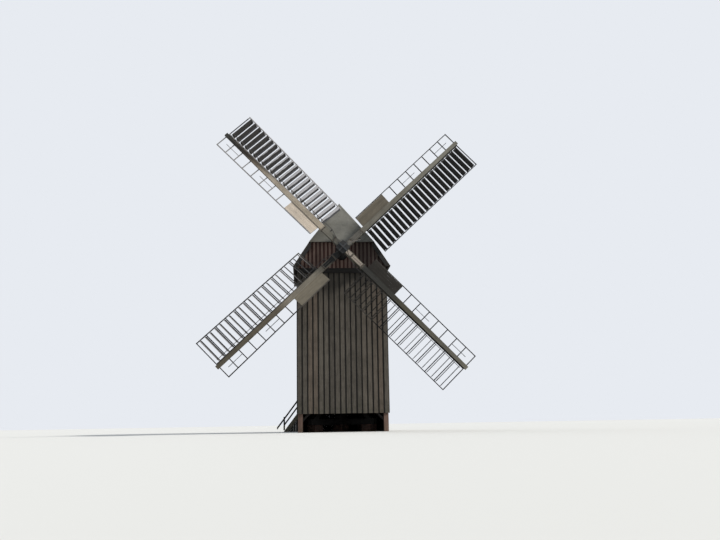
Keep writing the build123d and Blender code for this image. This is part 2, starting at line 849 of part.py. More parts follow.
def striking_rod(name):
    """Link from the spider's arm, crank beside the stock and rod along the shutters."""
    sail = sail_planes[name]
    joint = station(sail, crank_place, rod_place, rod_forward)
    rod_end = station(sail, outer_bar - bay / 4, rod_place, rod_forward)
    stock_side = stock_half_width(crank_place) + crank_gap
    arm_tip = turned_plane(sail_angles[name], link_forward)
    tip = Plane(origin=arm_tip.origin + arm_tip.y_dir * spider_reach, x_dir=sail.x_dir, z_dir=sail.y_dir)
    across = (joint.origin - sail.origin).dot(sail.x_dir)
    forward = (joint.origin - sail.origin).dot(sail.z_dir)
    with BuildPart() as rod:
        straight_bar(joint, rod_end, rod_size, rod_size)
        straight_bar(tip, joint, rod_size, rod_size)
        face = Plane(origin=sail.origin + sail.y_dir * crank_place, x_dir=sail.x_dir, z_dir=-sail.y_dir)
        with BuildSketch(face):
            with BuildLine():
                Polyline(
                    (stock_side, crank_size / 2),
                    (across, forward + rod_size),
                    (across + rod_size, forward),
                    (stock_side, -crank_size / 2),
                    close=True,
                )
            make_face()
        extrude(amount=rod_size, both=True)
        split(bisect_by=Plane(origin=tip.origin + tip.z_dir * link_gap, z_dir=tip.z_dir))
    return rod.part


with BuildPart() as shutter_rods:
    for name in sail_names:
        add(striking_rod(name))
save(shutter_rods.part, "shutter_rods")
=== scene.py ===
"""Looks of the timber windmill: boards, roofing felt, brick piers, fittings and finishes round
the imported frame. All lengths are metres in the frame of the mill, +Z up, the sails towards -Y."""

import json
import math
import random

import bmesh
import bpy
from mathutils import Matrix, Vector


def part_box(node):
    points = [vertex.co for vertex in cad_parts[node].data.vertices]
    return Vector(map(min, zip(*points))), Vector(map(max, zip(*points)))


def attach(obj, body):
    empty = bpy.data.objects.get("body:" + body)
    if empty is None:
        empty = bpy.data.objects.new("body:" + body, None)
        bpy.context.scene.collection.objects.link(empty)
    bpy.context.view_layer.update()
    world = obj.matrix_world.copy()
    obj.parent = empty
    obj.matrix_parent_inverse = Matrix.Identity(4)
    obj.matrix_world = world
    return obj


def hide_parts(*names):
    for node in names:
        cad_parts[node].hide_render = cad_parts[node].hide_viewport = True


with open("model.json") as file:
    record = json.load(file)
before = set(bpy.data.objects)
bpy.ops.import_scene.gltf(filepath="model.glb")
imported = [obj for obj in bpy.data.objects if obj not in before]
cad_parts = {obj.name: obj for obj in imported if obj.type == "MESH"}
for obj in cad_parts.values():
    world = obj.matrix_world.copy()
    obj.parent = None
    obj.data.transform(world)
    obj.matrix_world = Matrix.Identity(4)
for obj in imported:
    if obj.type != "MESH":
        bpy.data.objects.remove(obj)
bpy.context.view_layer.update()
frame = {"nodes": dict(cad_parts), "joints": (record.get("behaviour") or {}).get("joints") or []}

UP = Vector((0, 0, 1))
RIGHT = Vector((1, 0, 0))
BACK = Vector((0, 1, 0))

# Windshaft, as the frame gives it
sail_joint = frame["joints"][0]
hub = Vector(sail_joint["pos_m"])
shaft_axis = Vector(sail_joint["axis"]).normalized()

# Stocks: the outer one carries the first and the third sail, the inner one the others
sail_names = ("upper_left", "upper_right", "lower_right", "lower_left")
outer_pair = ("upper_left", "lower_right")
sail_turn = 1.0
stock_offset = 0.188
sail_radius = 10.66
poll_width = 0.66
stock_root_width = 0.35
stock_tip_width = 0.235
stock_root_depth = 0.3
band_places = (0.77, 1.72)

# Sails
bay = 0.77
bay_count = 11
outer_bar = 10.51
inner_bar = outer_bar - bay_count * bay
bar_width = 0.06
trailing_width = 1.958
leading_width = 0.907
planked_bays = 3
weather_inner = math.radians(16.6)
weather_tip = math.radians(2.9)
rod_place = 0.3

# Shutters
shutters_a_bay = 2
shutter_pitch = bay / shutters_a_bay
shutter_place = 0.27
shutter_chord = 0.366
shutter_thickness = 0.014
shutter_openings = {"upper_left": 57, "upper_right": 62, "lower_right": 88, "lower_left": 70}

# Boarding
wall_pitch = 0.341
gable_pitch = 0.252
outer_board = 0.028
inner_board = 0.03
cover_share = 0.70
gable_cover_share = 0.56
board_chamfer = 0.003
wall_rail_heights = (0.13, 2.35, 4.6, 6.85, 8.95)
gable_rail_heights = (0.08, 0.75, 1.35)

# Roof
roof_thickness = 0.1
felt_course = 0.92
felt_lap = 0.08
felt_thickness = 0.005


def add_object(name, content):
    """A new object in the scene."""
    made = bpy.data.objects.new(name, content)
    bpy.context.scene.collection.objects.link(made)
    return made


def section(width, thickness, chamfer):
    """Outline of a board's chamfered section, round its middle."""
    u = width / 2
    v = thickness / 2
    return ((u - chamfer, -v), (u, -v + chamfer), (u, v - chamfer), (u - chamfer, v),
            (-u + chamfer, v), (-u, v - chamfer), (-u, -v + chamfer), (-u + chamfer, -v))


def rays_round(axis, sides):
    """An axis one long, and the directions that stand evenly round it."""
    axis = Vector(axis).normalized()
    aside = axis.orthogonal().normalized()
    other = axis.cross(aside)
    turns = [math.tau * side / sides for side in range(sides)]
    return axis, [aside * math.cos(turn) + other * math.sin(turn) for turn in turns]


class Solids:
    """Many small closed solids that become one piece."""

    def __init__(self, seed):
        self.points = []
        self.faces = []
        self.tones = []
        self.finishes = []
        self.chance = random.Random(seed)

    def sweep(self, rings, tone=None, finish=0, closed=False):
        """A solid through rings of points, capped at its ends unless it closes on itself."""
        first = len(self.points)
        count = len(rings[0])
        for ring in rings:
            self.points.extend(ring)
        faces = []
        for span in range(len(rings) if closed else len(rings) - 1):
            here = first + span * count
            there = first + (span + 1) % len(rings) * count
            for side in range(count):
                after = (side + 1) % count
                faces.append((here + side, here + after, there + after, there + side))
        if not closed:
            last = first + (len(rings) - 1) * count
            faces.append(tuple(range(first, first + count)))
            faces.append(tuple(range(last, last + count)))
        self.faces.extend(faces)
        shade = self.chance.random() if tone is None else tone
        self.tones.extend([shade] * len(faces))
        self.finishes.extend([finish] * len(faces))

    def plank(self, start, end, across, width, thickness, bow=0.0, steps=1, top=None,
              chamfer=board_chamfer, **marks):
        """A board or bar from start to end along its middle, with chamfered edges."""
        start = Vector(start)
        end = Vector(end)
        across = Vector(across).normalized()
        outwards = across.cross((end - start).normalized())
        rings = []
        for step in range(steps + 1):
            centre = start.lerp(end, step / steps)
            aside = self.chance.uniform(-bow, bow)
            proud = self.chance.uniform(-bow, bow) / 2
            rings.append([centre + across * (u + aside) + outwards * (v + proud)
                          for u, v in section(width, thickness, chamfer)])
        if top:
            rings[-1] = [Vector((p.x, p.y, top(p))) for p in rings[-1]]
        self.sweep(rings, **marks)

    def stud(self, place, axis, radius, height, sides=6, **marks):
        """A bolt or nail head standing on a face."""
        axis, rays = rays_round(axis, sides)
        rings = []
        for share, level in ((1, -0.2), (1, 0.6), (0.7, 1)):
            middle = Vector(place) + axis * (height * level)
            rings.append([middle + ray * (radius * share) for ray in rays])
        self.sweep(rings, **marks)

    def hoop(self, place, axis, radius, width, thickness, sides=32):
        """A flat ring round an axis."""
        axis, rays = rays_round(axis, sides)
        corners = ((0, -1), (1, -1), (1, 1), (0, 1))
        rings = []
        for ray in rays:
            rings.append([Vector(place) + ray * (radius + thickness * reach) + axis * (width / 2 * along)
                          for reach, along in corners])
        self.sweep(rings, closed=True)

    def piece(self, name, body, finishes, replaces=()):
        """The finished mesh, riding on its body."""
        mesh = bpy.data.meshes.new(name)
        mesh.from_pydata([tuple(p) for p in self.points], [], self.faces)
        for finish in finishes:
            mesh.materials.append(finish)
        mesh.polygons.foreach_set("material_index", self.finishes)
        tone = mesh.attributes.new("tone", "FLOAT", "FACE")
        tone.data.foreach_set("value", self.tones)
        shape = bmesh.new()
        shape.from_mesh(mesh)
        bmesh.ops.recalc_face_normals(shape, faces=shape.faces)
        shape.to_mesh(mesh)
        shape.free()
        made = add_object(name, mesh)
        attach(made, body)
        if replaces:
            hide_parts(*replaces)
        return made


def cut_away(made, cutter):
    """Takes the cutter's space out of a finished piece."""
    cut = made.modifiers.new("cut", "BOOLEAN")
    cut.operation = "DIFFERENCE"
    cut.solver = "EXACT"
    cut.object = cutter
    bpy.context.view_layer.update()
    carved = bpy.data.meshes.new_from_object(made.evaluated_get(bpy.context.evaluated_depsgraph_get()))
    made.modifiers.clear()
    made.data = carved
    bpy.data.objects.remove(cutter)


# Shader nodes


def colour(*shade):
    """A colour with full cover, from one grey value or from red, green and blue."""
    return (*(shade * 3 if len(shade) == 1 else shade), 1.0)


def toned(shade, factor):
    """The same hue made darker or paler by a factor."""
    return [min(1, c * factor) for c in shade]


def feed(tree, node, inputs):
    """Sets a node's inputs, each to a plain value or colour or to the socket that feeds it."""
    for key, value in inputs.items():
        socket = node.inputs[key]
        if isinstance(value, bpy.types.NodeSocket):
            tree.links.new(value, socket)
        else:
            socket.default_value = colour(*value) if socket.type == "RGBA" else value
    return node


def put(tree, kind, inputs=None, **settings):
    """Adds one shader node."""
    node = tree.nodes.new("ShaderNode" + kind)
    for name, value in settings.items():
        setattr(node, name, value)
    return feed(tree, node, inputs or {})


def calc(tree, operation, first, second=0.0):
    """One sum on two values."""
    return put(tree, "Math", {0: first, 1: second}, operation=operation).outputs[0]


def spread(tree, value, low, high, to_low=0.0, to_high=1.0):
    """Stretches a range of values to another, clamped."""
    return put(tree, "MapRange", {"Value": value, "From Min": low, "From Max": high, "To Min": to_low,
                                  "To Max": to_high}).outputs[0]


def noise(tree, place, scale, detail=3.0, roughness=0.55, distortion=0.0):
    """Cloudy values between 0 and 1."""
    return put(tree, "TexNoise", {"Vector": place, "Scale": scale, "Detail": detail,
                                  "Roughness": roughness, "Distortion": distortion}).outputs[0]


def stretch(tree, place, factors):
    """Scales a place along each axis."""
    return put(tree, "VectorMath", {0: place, 1: factors}, operation="MULTIPLY").outputs[0]


def enlarge(tree, value, factor):
    """Scales a place or a colour by one factor."""
    return put(tree, "VectorMath", {0: value, "Scale": factor}, operation="SCALE").outputs[0]


def dot(tree, first, second):
    """The dot product of two vectors."""
    return put(tree, "VectorMath", {0: first, 1: second}, operation="DOT_PRODUCT").outputs["Value"]


def tint(tree, share, first, second, blend="MIX"):
    """Mixes two colours by a share."""
    return put(tree, "Mix", {0: share, 6: first, 7: second}, data_type="RGBA", blend_type=blend).outputs[2]


def over(tree, base, *layers):
    """Lays shades over a colour, each where its mask shows, up to its amount."""
    for mask, amount, shade in layers:
        base = tint(tree, calc(tree, "MULTIPLY", mask, amount), base, shade)
    return base


def effect_group(**inputs):
    """Makes a shader group with named sockets from the function that describes it. The function
    gets the group and what is given to it, and returns its values by name."""
    def make(describe):
        group = bpy.data.node_groups.new(describe.__name__.replace("_", " "), "ShaderNodeTree")
        for label, kind in inputs.items():
            group.interface.new_socket(label, in_out="INPUT", socket_type="NodeSocket" + kind)
        results = describe(group, group.nodes.new("NodeGroupInput").outputs)
        for label in results:
            group.interface.new_socket(label, in_out="OUTPUT", socket_type="NodeSocketFloat")
        feed(group, group.nodes.new("NodeGroupOutput"), results)
        return group
    return make


@effect_group(Place="Vector", Size="Float")
def timber_grain(group, given):
    """Growth bands and fibres that run along the Z of the place given."""
    sized = enlarge(group, given["Place"], given["Size"])
    bands = noise(group, stretch(group, sized, (1, 1, 0.045)), 1, 4, 0.6, 0.5)
    fibres = noise(group, stretch(group, sized, (6, 6, 0.12)), 1, 3, 0.7)
    return {"Band": spread(group, bands, 0.3, 0.7), "Fibre": spread(group, fibres, 0.3, 0.7)}


@effect_group(Place="Vector", Size="Float")
def weather_marks(group, given):
    """Soft stains, and the runs that rain leaves down a face."""
    sized = enlarge(group, given["Place"], given["Size"])
    stains = noise(group, sized, 1, 5, 0.6)
    runs = noise(group, stretch(group, sized, (9, 9, 0.5)), 1, 3, 0.6)
    return {"Stain": spread(group, stains, 0.42, 0.68), "Run": spread(group, runs, 0.45, 0.75)}


@effect_group(Place="Vector", Width="Float")
def edge_wear(group, given):
    """Where a face turns over an edge, broken up by small knocks."""
    rounded = put(group, "Bevel", {"Radius": given["Width"]}, samples=4).outputs[0]
    turn = dot(group, rounded, put(group, "NewGeometry").outputs["Normal"])
    knocks = noise(group, given["Place"], 14, 3, 0.6)
    sharp = spread(group, turn, 0.985, 0.86)
    return {"Edge": calc(group, "MULTIPLY", sharp, spread(group, knocks, 0.35, 0.6))}


@effect_group(Contrast="Float")
def board_tone(group, given):
    """How much darker or paler one board is than the next."""
    own = put(group, "Attribute", attribute_name="tone").outputs["Fac"]
    swing = calc(group, "MULTIPLY", calc(group, "SUBTRACT", own, 0.5), given["Contrast"])
    return {"Tone": calc(group, "ADD", swing, 1.0)}


@effect_group(Place="Vector", Reach="Float")
def green_growth(group, given):
    """Algae and moss: thick near the foot, thin above, in patches."""
    height = put(group, "SeparateXYZ", {0: given["Place"]}).outputs["Z"]
    low = spread(group, height, 0.0, given["Reach"], 1.0, 0.0)
    patches = noise(group, given["Place"], 2.6, 5, 0.65)
    return {"Growth": calc(group, "MULTIPLY", low, spread(group, patches, 0.4, 0.66))}


@effect_group(Place="Vector", Start="Vector", Direction="Vector")
def distance_along(group, given):
    """How far a place lies from a starting point in one direction."""
    offset = put(group, "VectorMath", {0: given["Place"], 1: given["Start"]}, operation="SUBTRACT").outputs[0]
    return {"Distance": dot(group, offset, given["Direction"])}


def effect(tree, group, **inputs):
    """Places a shader group in a material and gives its outputs."""
    return put(tree, "Group", inputs, node_tree=group).outputs


def blank(name):
    """A material with its shader, and the place on the piece that patterns follow."""
    material = bpy.data.materials.new(name)
    material.use_nodes = True
    tree = material.node_tree
    return material, tree, put(tree, "TexCoord").outputs["Object"]


def dress(material, base, rough, height, depth, **more):
    """Gives a material its colour, its roughness and the height and depth of its bump."""
    tree = material.node_tree
    bump = put(tree, "Bump", {"Height": height, "Strength": 0.7, "Distance": depth}).outputs[0]
    more |= {"Base Color": base, "Roughness": rough, "Normal": bump}
    feed(tree, tree.nodes["Principled BSDF"], more)
    return material


def shade_along(tree, base, place, start, direction, stops):
    """Multiplies a colour by shades that follow one another from a starting point on. Each stop is
    a distance and a shade, one grey value or red, green and blue."""
    reach = effect(tree, distance_along, Place=place, Start=start, Direction=direction)["Distance"]
    first = stops[0][0]
    last = stops[-1][0]
    ramp = put(tree, "ValToRGB", {"Fac": spread(tree, reach, first, last)})
    elements = ramp.color_ramp.elements
    elements[0].color = colour(*stops[0][1:])
    elements[1].color = colour(*stops[-1][1:])
    for distance, *shade in stops[1:-1]:
        elements.new((distance - first) / (last - first)).color = colour(*shade)
    return tint(tree, 1.0, base, ramp.outputs["Color"], "MULTIPLY")


def grain_place(tree, place, direction):
    """Turns places so that their Z runs along the grain."""
    direction = Vector(direction).normalized()
    axis = direction.cross(UP)
    if axis.length < 1e-6:
        return place
    turn = {"Vector": place, "Axis": axis.normalized(), "Angle": direction.angle(UP)}
    return put(tree, "VectorRotate", turn, rotation_type="AXIS_ANGLE").outputs[0]


def timber(name, pale, dark, grain=UP, band=28.0, contrast=0.0, stain=0.5, growth=0.0, worn=0.35,
           roughness=0.82, shades=None, ruddy=0.0):
    """Weathered wood: bands and fibres along the grain, stains, runs, growth and worn edges.
    Contrast is how far single boards differ, and ruddy how far the palest of them turn red.
    Shades are a starting point, a direction and the stops of colour that follow from there; in this script
    they carry painted light and shade."""
    material, tree, place = blank(name)
    fibres = effect(tree, timber_grain, Place=grain_place(tree, place, grain), Size=band)
    marks = effect(tree, weather_marks, Place=place, Size=1.3)
    tone = effect(tree, board_tone, Contrast=contrast)["Tone"]
    wood = tint(tree, fibres["Band"], dark, pale)
    wood = over(tree, wood, (fibres["Fibre"], 0.35, toned(dark, 0.45)),
                (marks["Stain"], stain, toned(dark, 0.6)), (marks["Run"], stain * 0.6, toned(dark, 0.5)))
    wood = enlarge(tree, wood, tone)
    if ruddy:
        red_board = spread(tree, tone, 1 + 0.30 * contrast, 1 + 0.48 * contrast, 0, ruddy)
        wood = tint(tree, red_board, wood, (1.05, 0.78, 0.66), "MULTIPLY")
    if growth:
        green = effect(tree, green_growth, Place=place, Reach=growth)["Growth"]
        wood = over(tree, wood, (green, 0.5, (0.05, 0.065, 0.025)))
    edge = effect(tree, edge_wear, Place=place, Width=0.008)["Edge"]
    wood = over(tree, wood, (edge, worn, toned(pale, 1.5)))
    if shades:
        wood = shade_along(tree, wood, place, *shades)
    rough = spread(tree, fibres["Fibre"], 0, 1, roughness - 0.08, roughness + 0.1)
    return dress(material, wood, rough, calc(tree, "ADD", fibres["Fibre"], fibres["Band"]), 0.004)


def roofing_felt():
    """Grey bitumen felt with algae and lichen, and painted shadow over its left side; the bare roof boards
    show at its edges and under it.
    """
    material, tree, place = blank("roofing felt")
    marks = effect(tree, weather_marks, Place=place, Size=0.9)
    tone = effect(tree, board_tone, Contrast=0.16)["Tone"]
    grit = noise(tree, place, 240, 2, 0.8)
    clouds = spread(tree, noise(tree, place, 0.8, 5, 0.6), 0.3, 0.7)
    felt = tint(tree, clouds, (0.150, 0.150, 0.132), (0.215, 0.215, 0.195))
    felt = over(tree, felt, (marks["Stain"], 0.45, (0.105, 0.105, 0.080)),
                (marks["Run"], 0.35, (0.26, 0.26, 0.245)))
    felt = tint(tree, spread(tree, grit, 0.35, 0.7, 0, 0.25), felt, (0.09, 0.09, 0.08))
    # Painted shadow: the felt darker towards the left, where the upper left sail's shadow falls
    felt = shade_along(tree, enlarge(tree, felt, tone), place, (0, 0, 0), RIGHT,
                       ((-2.2, 0.36, 0.36, 0.34), (-1.2, 0.5, 0.5, 0.48), (-0.5, 1), (2.2, 1)))
    fibres = effect(tree, timber_grain, Place=grain_place(tree, place, BACK), Size=24.0)
    wood = tint(tree, fibres["Band"], (0.022, 0.02, 0.017), (0.06, 0.053, 0.045))
    facing = put(tree, "SeparateXYZ", {0: put(tree, "NewGeometry").outputs["Normal"]}).outputs["Z"]
    skin = tint(tree, spread(tree, facing, 0.15, 0.3), wood, felt)
    height = calc(tree, "ADD", grit, calc(tree, "MULTIPLY", marks["Stain"], 2.0))
    return dress(material, skin, 0.9, height, 0.003)


def brick_clay():
    """Old soft bricks, each its own shade, sooty and green at the foot."""
    material, tree, place = blank("brick clay")
    marks = effect(tree, weather_marks, Place=place, Size=3.5)
    tone = effect(tree, board_tone, Contrast=0.7)["Tone"]
    clay = tint(tree, noise(tree, place, 30, 4, 0.7), (0.075, 0.035, 0.025), (0.14, 0.075, 0.055))
    clay = enlarge(tree, over(tree, clay, (marks["Stain"], 0.6, (0.025, 0.02, 0.018))), tone)
    green = effect(tree, green_growth, Place=place, Reach=0.35)["Growth"]
    clay = over(tree, clay, (green, 0.6, (0.03, 0.04, 0.016)))
    return dress(material, clay, 0.92, noise(tree, place, 90, 4, 0.7), 0.004)


def lime_mortar():
    """Sandy mortar, darkened by damp."""
    material, tree, place = blank("lime mortar")
    sand = noise(tree, place, 160, 3, 0.7)
    marks = effect(tree, weather_marks, Place=place, Size=4.0)
    mortar = tint(tree, sand, (0.06, 0.055, 0.046), (0.13, 0.12, 0.10))
    mortar = over(tree, mortar, (marks["Stain"], 0.6, (0.03, 0.03, 0.024)))
    return dress(material, mortar, 0.95, sand, 0.003)


def old_iron(name, pale, rust):
    """Forged or cast iron with worn paint and rust."""
    material, tree, place = blank(name)
    marks = effect(tree, weather_marks, Place=place, Size=5.0)
    edge = effect(tree, edge_wear, Place=place, Width=0.006)["Edge"]
    pits = noise(tree, place, 60, 4, 0.7)
    metal = tint(tree, pits, toned(pale, 0.6), pale)
    metal = over(tree, metal, (marks["Stain"], 0.4, rust), (marks["Run"], 0.4, toned(rust, 0.7)),
                 (edge, 0.5, toned(pale, 1.8)))
    shine = spread(tree, marks["Stain"], 0, 1, 0.45, 0.0)
    return dress(material, metal, spread(tree, pits, 0.2, 0.8, 0.5, 0.8), pits, 0.002, Metallic=shine)


def sail_place(number, forward):
    """Matrix of a sail's own place: X to its trailing side, Y out along the stock, Z forwards."""
    lift = shaft_axis.cross(RIGHT)
    base = Matrix((RIGHT, lift, shaft_axis)).transposed().to_4x4()
    base.translation = hub
    angle = math.radians(-45 + 90 * number + sail_turn)
    return base @ Matrix.Translation((0, 0, forward)) @ Matrix.Rotation(-angle, 4, "Z")


sails = {}
for number, sail_name in enumerate(sail_names):
    sails[sail_name] = sail_place(number, stock_offset if sail_name in outer_pair else -stock_offset)

# Finishes of the body
outer_boards = timber("weathered wall boards", (0.202, 0.179, 0.149), (0.087, 0.077, 0.062), contrast=0.6,
                      stain=0.55, growth=2.4, ruddy=0.35)
inner_boards = timber("shaded wall boards", (0.034, 0.030, 0.024), (0.015, 0.013, 0.011), contrast=0.3,
                      worn=0.1)
# Painted shadow: the gable's boards darker from the hub rightwards, where the sails' shadow falls
painted_sail_shadow = ((0, 0, 0), RIGHT, ((-2.9, 1), (0.3, 1), (1.1, 0.45, 0.5, 0.52), (2.9, 0.45, 0.5, 0.52)))
gable_outer = timber("gable cover boards", (0.43, 0.31, 0.26), (0.21, 0.135, 0.108), contrast=0.5,
                     stain=0.4, shades=painted_sail_shadow)
gable_inner = timber("red gable boards", (0.130, 0.045, 0.032), (0.040, 0.015, 0.012), contrast=0.3,
                     worn=0.1, shades=painted_sail_shadow)
# Nearly black: partly the wood's own colour, partly painted shade along the roof's edge
verge_wood = timber("verge wood", (0.040, 0.039, 0.037), (0.016, 0.016, 0.016), grain=(1, 0, 1.55))
upright_timber, lengthwise_timber, crosswise_timber = [
    timber(run + " timber", (0.050, 0.040, 0.032), (0.018, 0.014, 0.011), grain=grain, band=18, worn=0.05)
    for run, grain in (("upright", UP), ("lengthwise", BACK), ("crosswise", RIGHT))]
# Nearly black: tar with painted shade, as the trestle stands in the shade under the body
trestle_timber = timber("tarred trestle in painted shade", (0.022, 0.019, 0.017), (0.008, 0.007, 0.006), grain=RIGHT, band=18,
                        worn=0.0)
# Nearly black: painted shade, standing in for the shadow under the gable's overhang
beam_timber = timber("gable beam", (0.030, 0.027, 0.023), (0.011, 0.010, 0.009), grain=RIGHT, band=18)
prop_width = 0.3
prop_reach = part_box("corner_props")[1].x - prop_width
# Painted shade: the braces between the props nearly black, in the shade under the body
painted_brace_shade = ((-prop_reach - 0.02, 1), (-prop_reach, 0.04), (prop_reach, 0.04), (prop_reach + 0.02, 1))
prop_timber = timber("prop timber", (0.330, 0.215, 0.165), (0.170, 0.105, 0.080), band=18, growth=0.5,
                     shades=((0, 0, 0), RIGHT, painted_brace_shade))
floor_planks = timber("floor planks", (0.10, 0.078, 0.058), (0.045, 0.035, 0.026), grain=RIGHT)
# Nearly black: tar with painted shade, for the boards round the space under the body
tarred_shaded_boards = timber("tarred boards in painted shade", (0.018, 0.018, 0.018), (0.007, 0.007, 0.007), contrast=0.4,
                       growth=0.9, roughness=0.75, worn=0.2)
# The stair's pale wood is partly painted sunlight; the handrails stay dark
sunlit_stair_timber, rail_timber = [
    timber(name, pale, dark, grain=(1, 0, 1.33), growth=1.2)
    for name, pale, dark in (("stair timber with painted sunlight", (0.36, 0.33, 0.25), (0.16, 0.145, 0.105)),
                             ("rail timber", (0.050, 0.045, 0.034), (0.020, 0.018, 0.013)))]
door_timber = timber("door boards", (0.14, 0.095, 0.062), (0.065, 0.042, 0.028), contrast=0.4)
tarred_shaft = timber("tarred shaft", (0.024, 0.025, 0.026), (0.009, 0.009, 0.010), grain=shaft_axis,
                      band=16, roughness=0.65)
iron = old_iron("worn iron", (0.060, 0.075, 0.085), (0.060, 0.030, 0.018))
rod_iron = old_iron("rod iron", (0.075, 0.075, 0.073), (0.055, 0.042, 0.033))
dark_iron = old_iron("dark iron", (0.030, 0.031, 0.033), (0.050, 0.023, 0.012))
band_iron = old_iron("band iron", (0.160, 0.145, 0.120), (0.110, 0.080, 0.055))
felt = roofing_felt()
clay = brick_clay()
mortar = lime_mortar()

# Finishes of the stocks and sails, whose shades follow the distance from the hub: painted light and shade of
# each sail's sunlit and shaded stretches
along_outer = sails["upper_left"].to_3x3() @ BACK
along_inner = sails["upper_right"].to_3x3() @ BACK
trailing_outer = sails["upper_left"].to_3x3() @ RIGHT
outer_stock_painted_light = (
    (-10.66, 0.34, 0.33, 0.27), (-9.0, 0.20, 0.19, 0.155), (-5.2, 0.135, 0.125, 0.085),
    (-4.3, 0.052, 0.052, 0.043), (-1.9, 0.045, 0.047, 0.043), (-1.0, 0.30, 0.28, 0.22), (0.0, 0.08),
    (0.8, 0.24, 0.235, 0.20), (1.65, 0.30, 0.285, 0.24), (1.9, 0.80, 0.70, 0.56), (6.5, 0.75, 0.66, 0.54),
    (7.8, 0.35, 0.29, 0.22), (8.6, 0.12, 0.10, 0.08), (10.66, 0.06, 0.062, 0.058))
inner_stock_painted_light = (
    (-10.66, 0.17, 0.15, 0.105), (-5.6, 0.20, 0.17, 0.125), (-5.0, 0.42, 0.38, 0.31),
    (-1.3, 0.36, 0.33, 0.27), (-0.95, 0.05, 0.052, 0.052), (0.4, 0.05, 0.052, 0.052),
    (0.6, 0.22, 0.21, 0.185), (1.7, 0.26, 0.25, 0.215), (5.2, 0.32, 0.30, 0.245),
    (5.8, 0.38, 0.365, 0.31), (10.66, 0.36, 0.35, 0.30))
# Painted light and shade on the laths: pale where they stand lit before the body, dark against the sky
outer_lath_painted_light = (
    (-10.66, 0.05, 0.055, 0.065), (-4.8, 0.05, 0.055, 0.065), (-4.2, 0.7), (0.0, 0.5),
    (10.66, 0.13, 0.14, 0.16))
inner_lath_painted_light = (
    (-10.66, 0.11), (-4.7, 0.11), (-4.2, 1), (0.0, 0.6), (2.0, 0.08, 0.085, 0.09),
    (10.66, 0.08, 0.085, 0.09))
stock_outer_wood, stock_inner_wood = [
    timber(name + " stock timber", (1.0, 1.0, 1.0), (0.58, 0.57, 0.55), grain=along, band=16,
           shades=(hub, along, stops))
    for name, along, stops in (("outer", along_outer, outer_stock_painted_light),
                               ("inner", along_inner, inner_stock_painted_light))]
lath_outer, lath_inner = [
    timber(name + " sail laths", (0.25, 0.23, 0.20), (0.10, 0.09, 0.078), grain=along, worn=0.15,
           shades=(hub, along, stops))
    for name, along, stops in (("outer", along_outer, outer_lath_painted_light),
                               ("inner", along_inner, inner_lath_painted_light))]
batten_wood = timber("shutter battens", (0.050, 0.048, 0.044), (0.020, 0.019, 0.018), grain=along_inner,
                     contrast=0.5, worn=0.1)
# Painted highlight: the upper left sail's inner and outer rails pale, as if sunlit; the laths between stay
# dark
painted_rail_highlights = ((0.10, 0.7), (0.25, 0.6), (0.27, 0.13, 0.14, 0.16), (1.82, 0.13, 0.14, 0.16), (1.84, 1))
sunlit_painted_lath = timber("outer rail with painted sunlight", (0.62, 0.62, 0.64), (0.42, 0.41, 0.41), grain=along_outer,
                       worn=0.15, shades=(hub, trailing_outer, painted_rail_highlights))
strip_wood = timber("splice strips", (0.68, 0.60, 0.52), (0.44, 0.38, 0.32), grain=along_outer,
                    contrast=0.5, worn=0.1)
grey_strip_wood = timber("grey splice strips", (0.23, 0.22, 0.20), (0.12, 0.115, 0.10), grain=along_inner,
                         contrast=0.5)
# Nearly black: tar with painted shadow of the hub, on the lower left sail's root
tarred_shadowed_strip_wood = timber("tarred splice strips in painted shadow", (0.040, 0.042, 0.042), (0.016, 0.017, 0.017),
                           grain=along_inner, contrast=0.5)
# Painted light and shade: each sail's planks made paler or darker as the sun falls on it
plank_painted_light = {"upper_left": 4.0, "upper_right": -0.4, "lower_right": -1.28, "lower_left": 0.8}
plank_outer, plank_inner = [
    timber(name + " leading planks", pale, dark, grain=along, contrast=1.0, stain=0.35, worn=0.1)
    for name, pale, dark, along in (
        ("outer", (0.26, 0.230, 0.195), (0.175, 0.152, 0.126), along_outer),
        ("inner", (0.26, 0.232, 0.180), (0.175, 0.153, 0.115), along_inner))]
# Painted light and shade: each sail's shutters paler or darker as the sun falls on their faces
shutter_painted_light = {"upper_left": 0.17, "upper_right": 0.17, "lower_right": 0.12, "lower_left": 0.6}
shutter_finishes = {}
for sail_name, shade in shutter_painted_light.items():
    shutter_finishes[sail_name] = timber(
        sail_name.replace("_", " ") + " shutter wood", toned((0.42, 0.41, 0.41), shade),
        toned((0.22, 0.215, 0.215), shade), grain=along_inner if sail_name in outer_pair else along_outer,
        stain=0.4, worn=0.2)


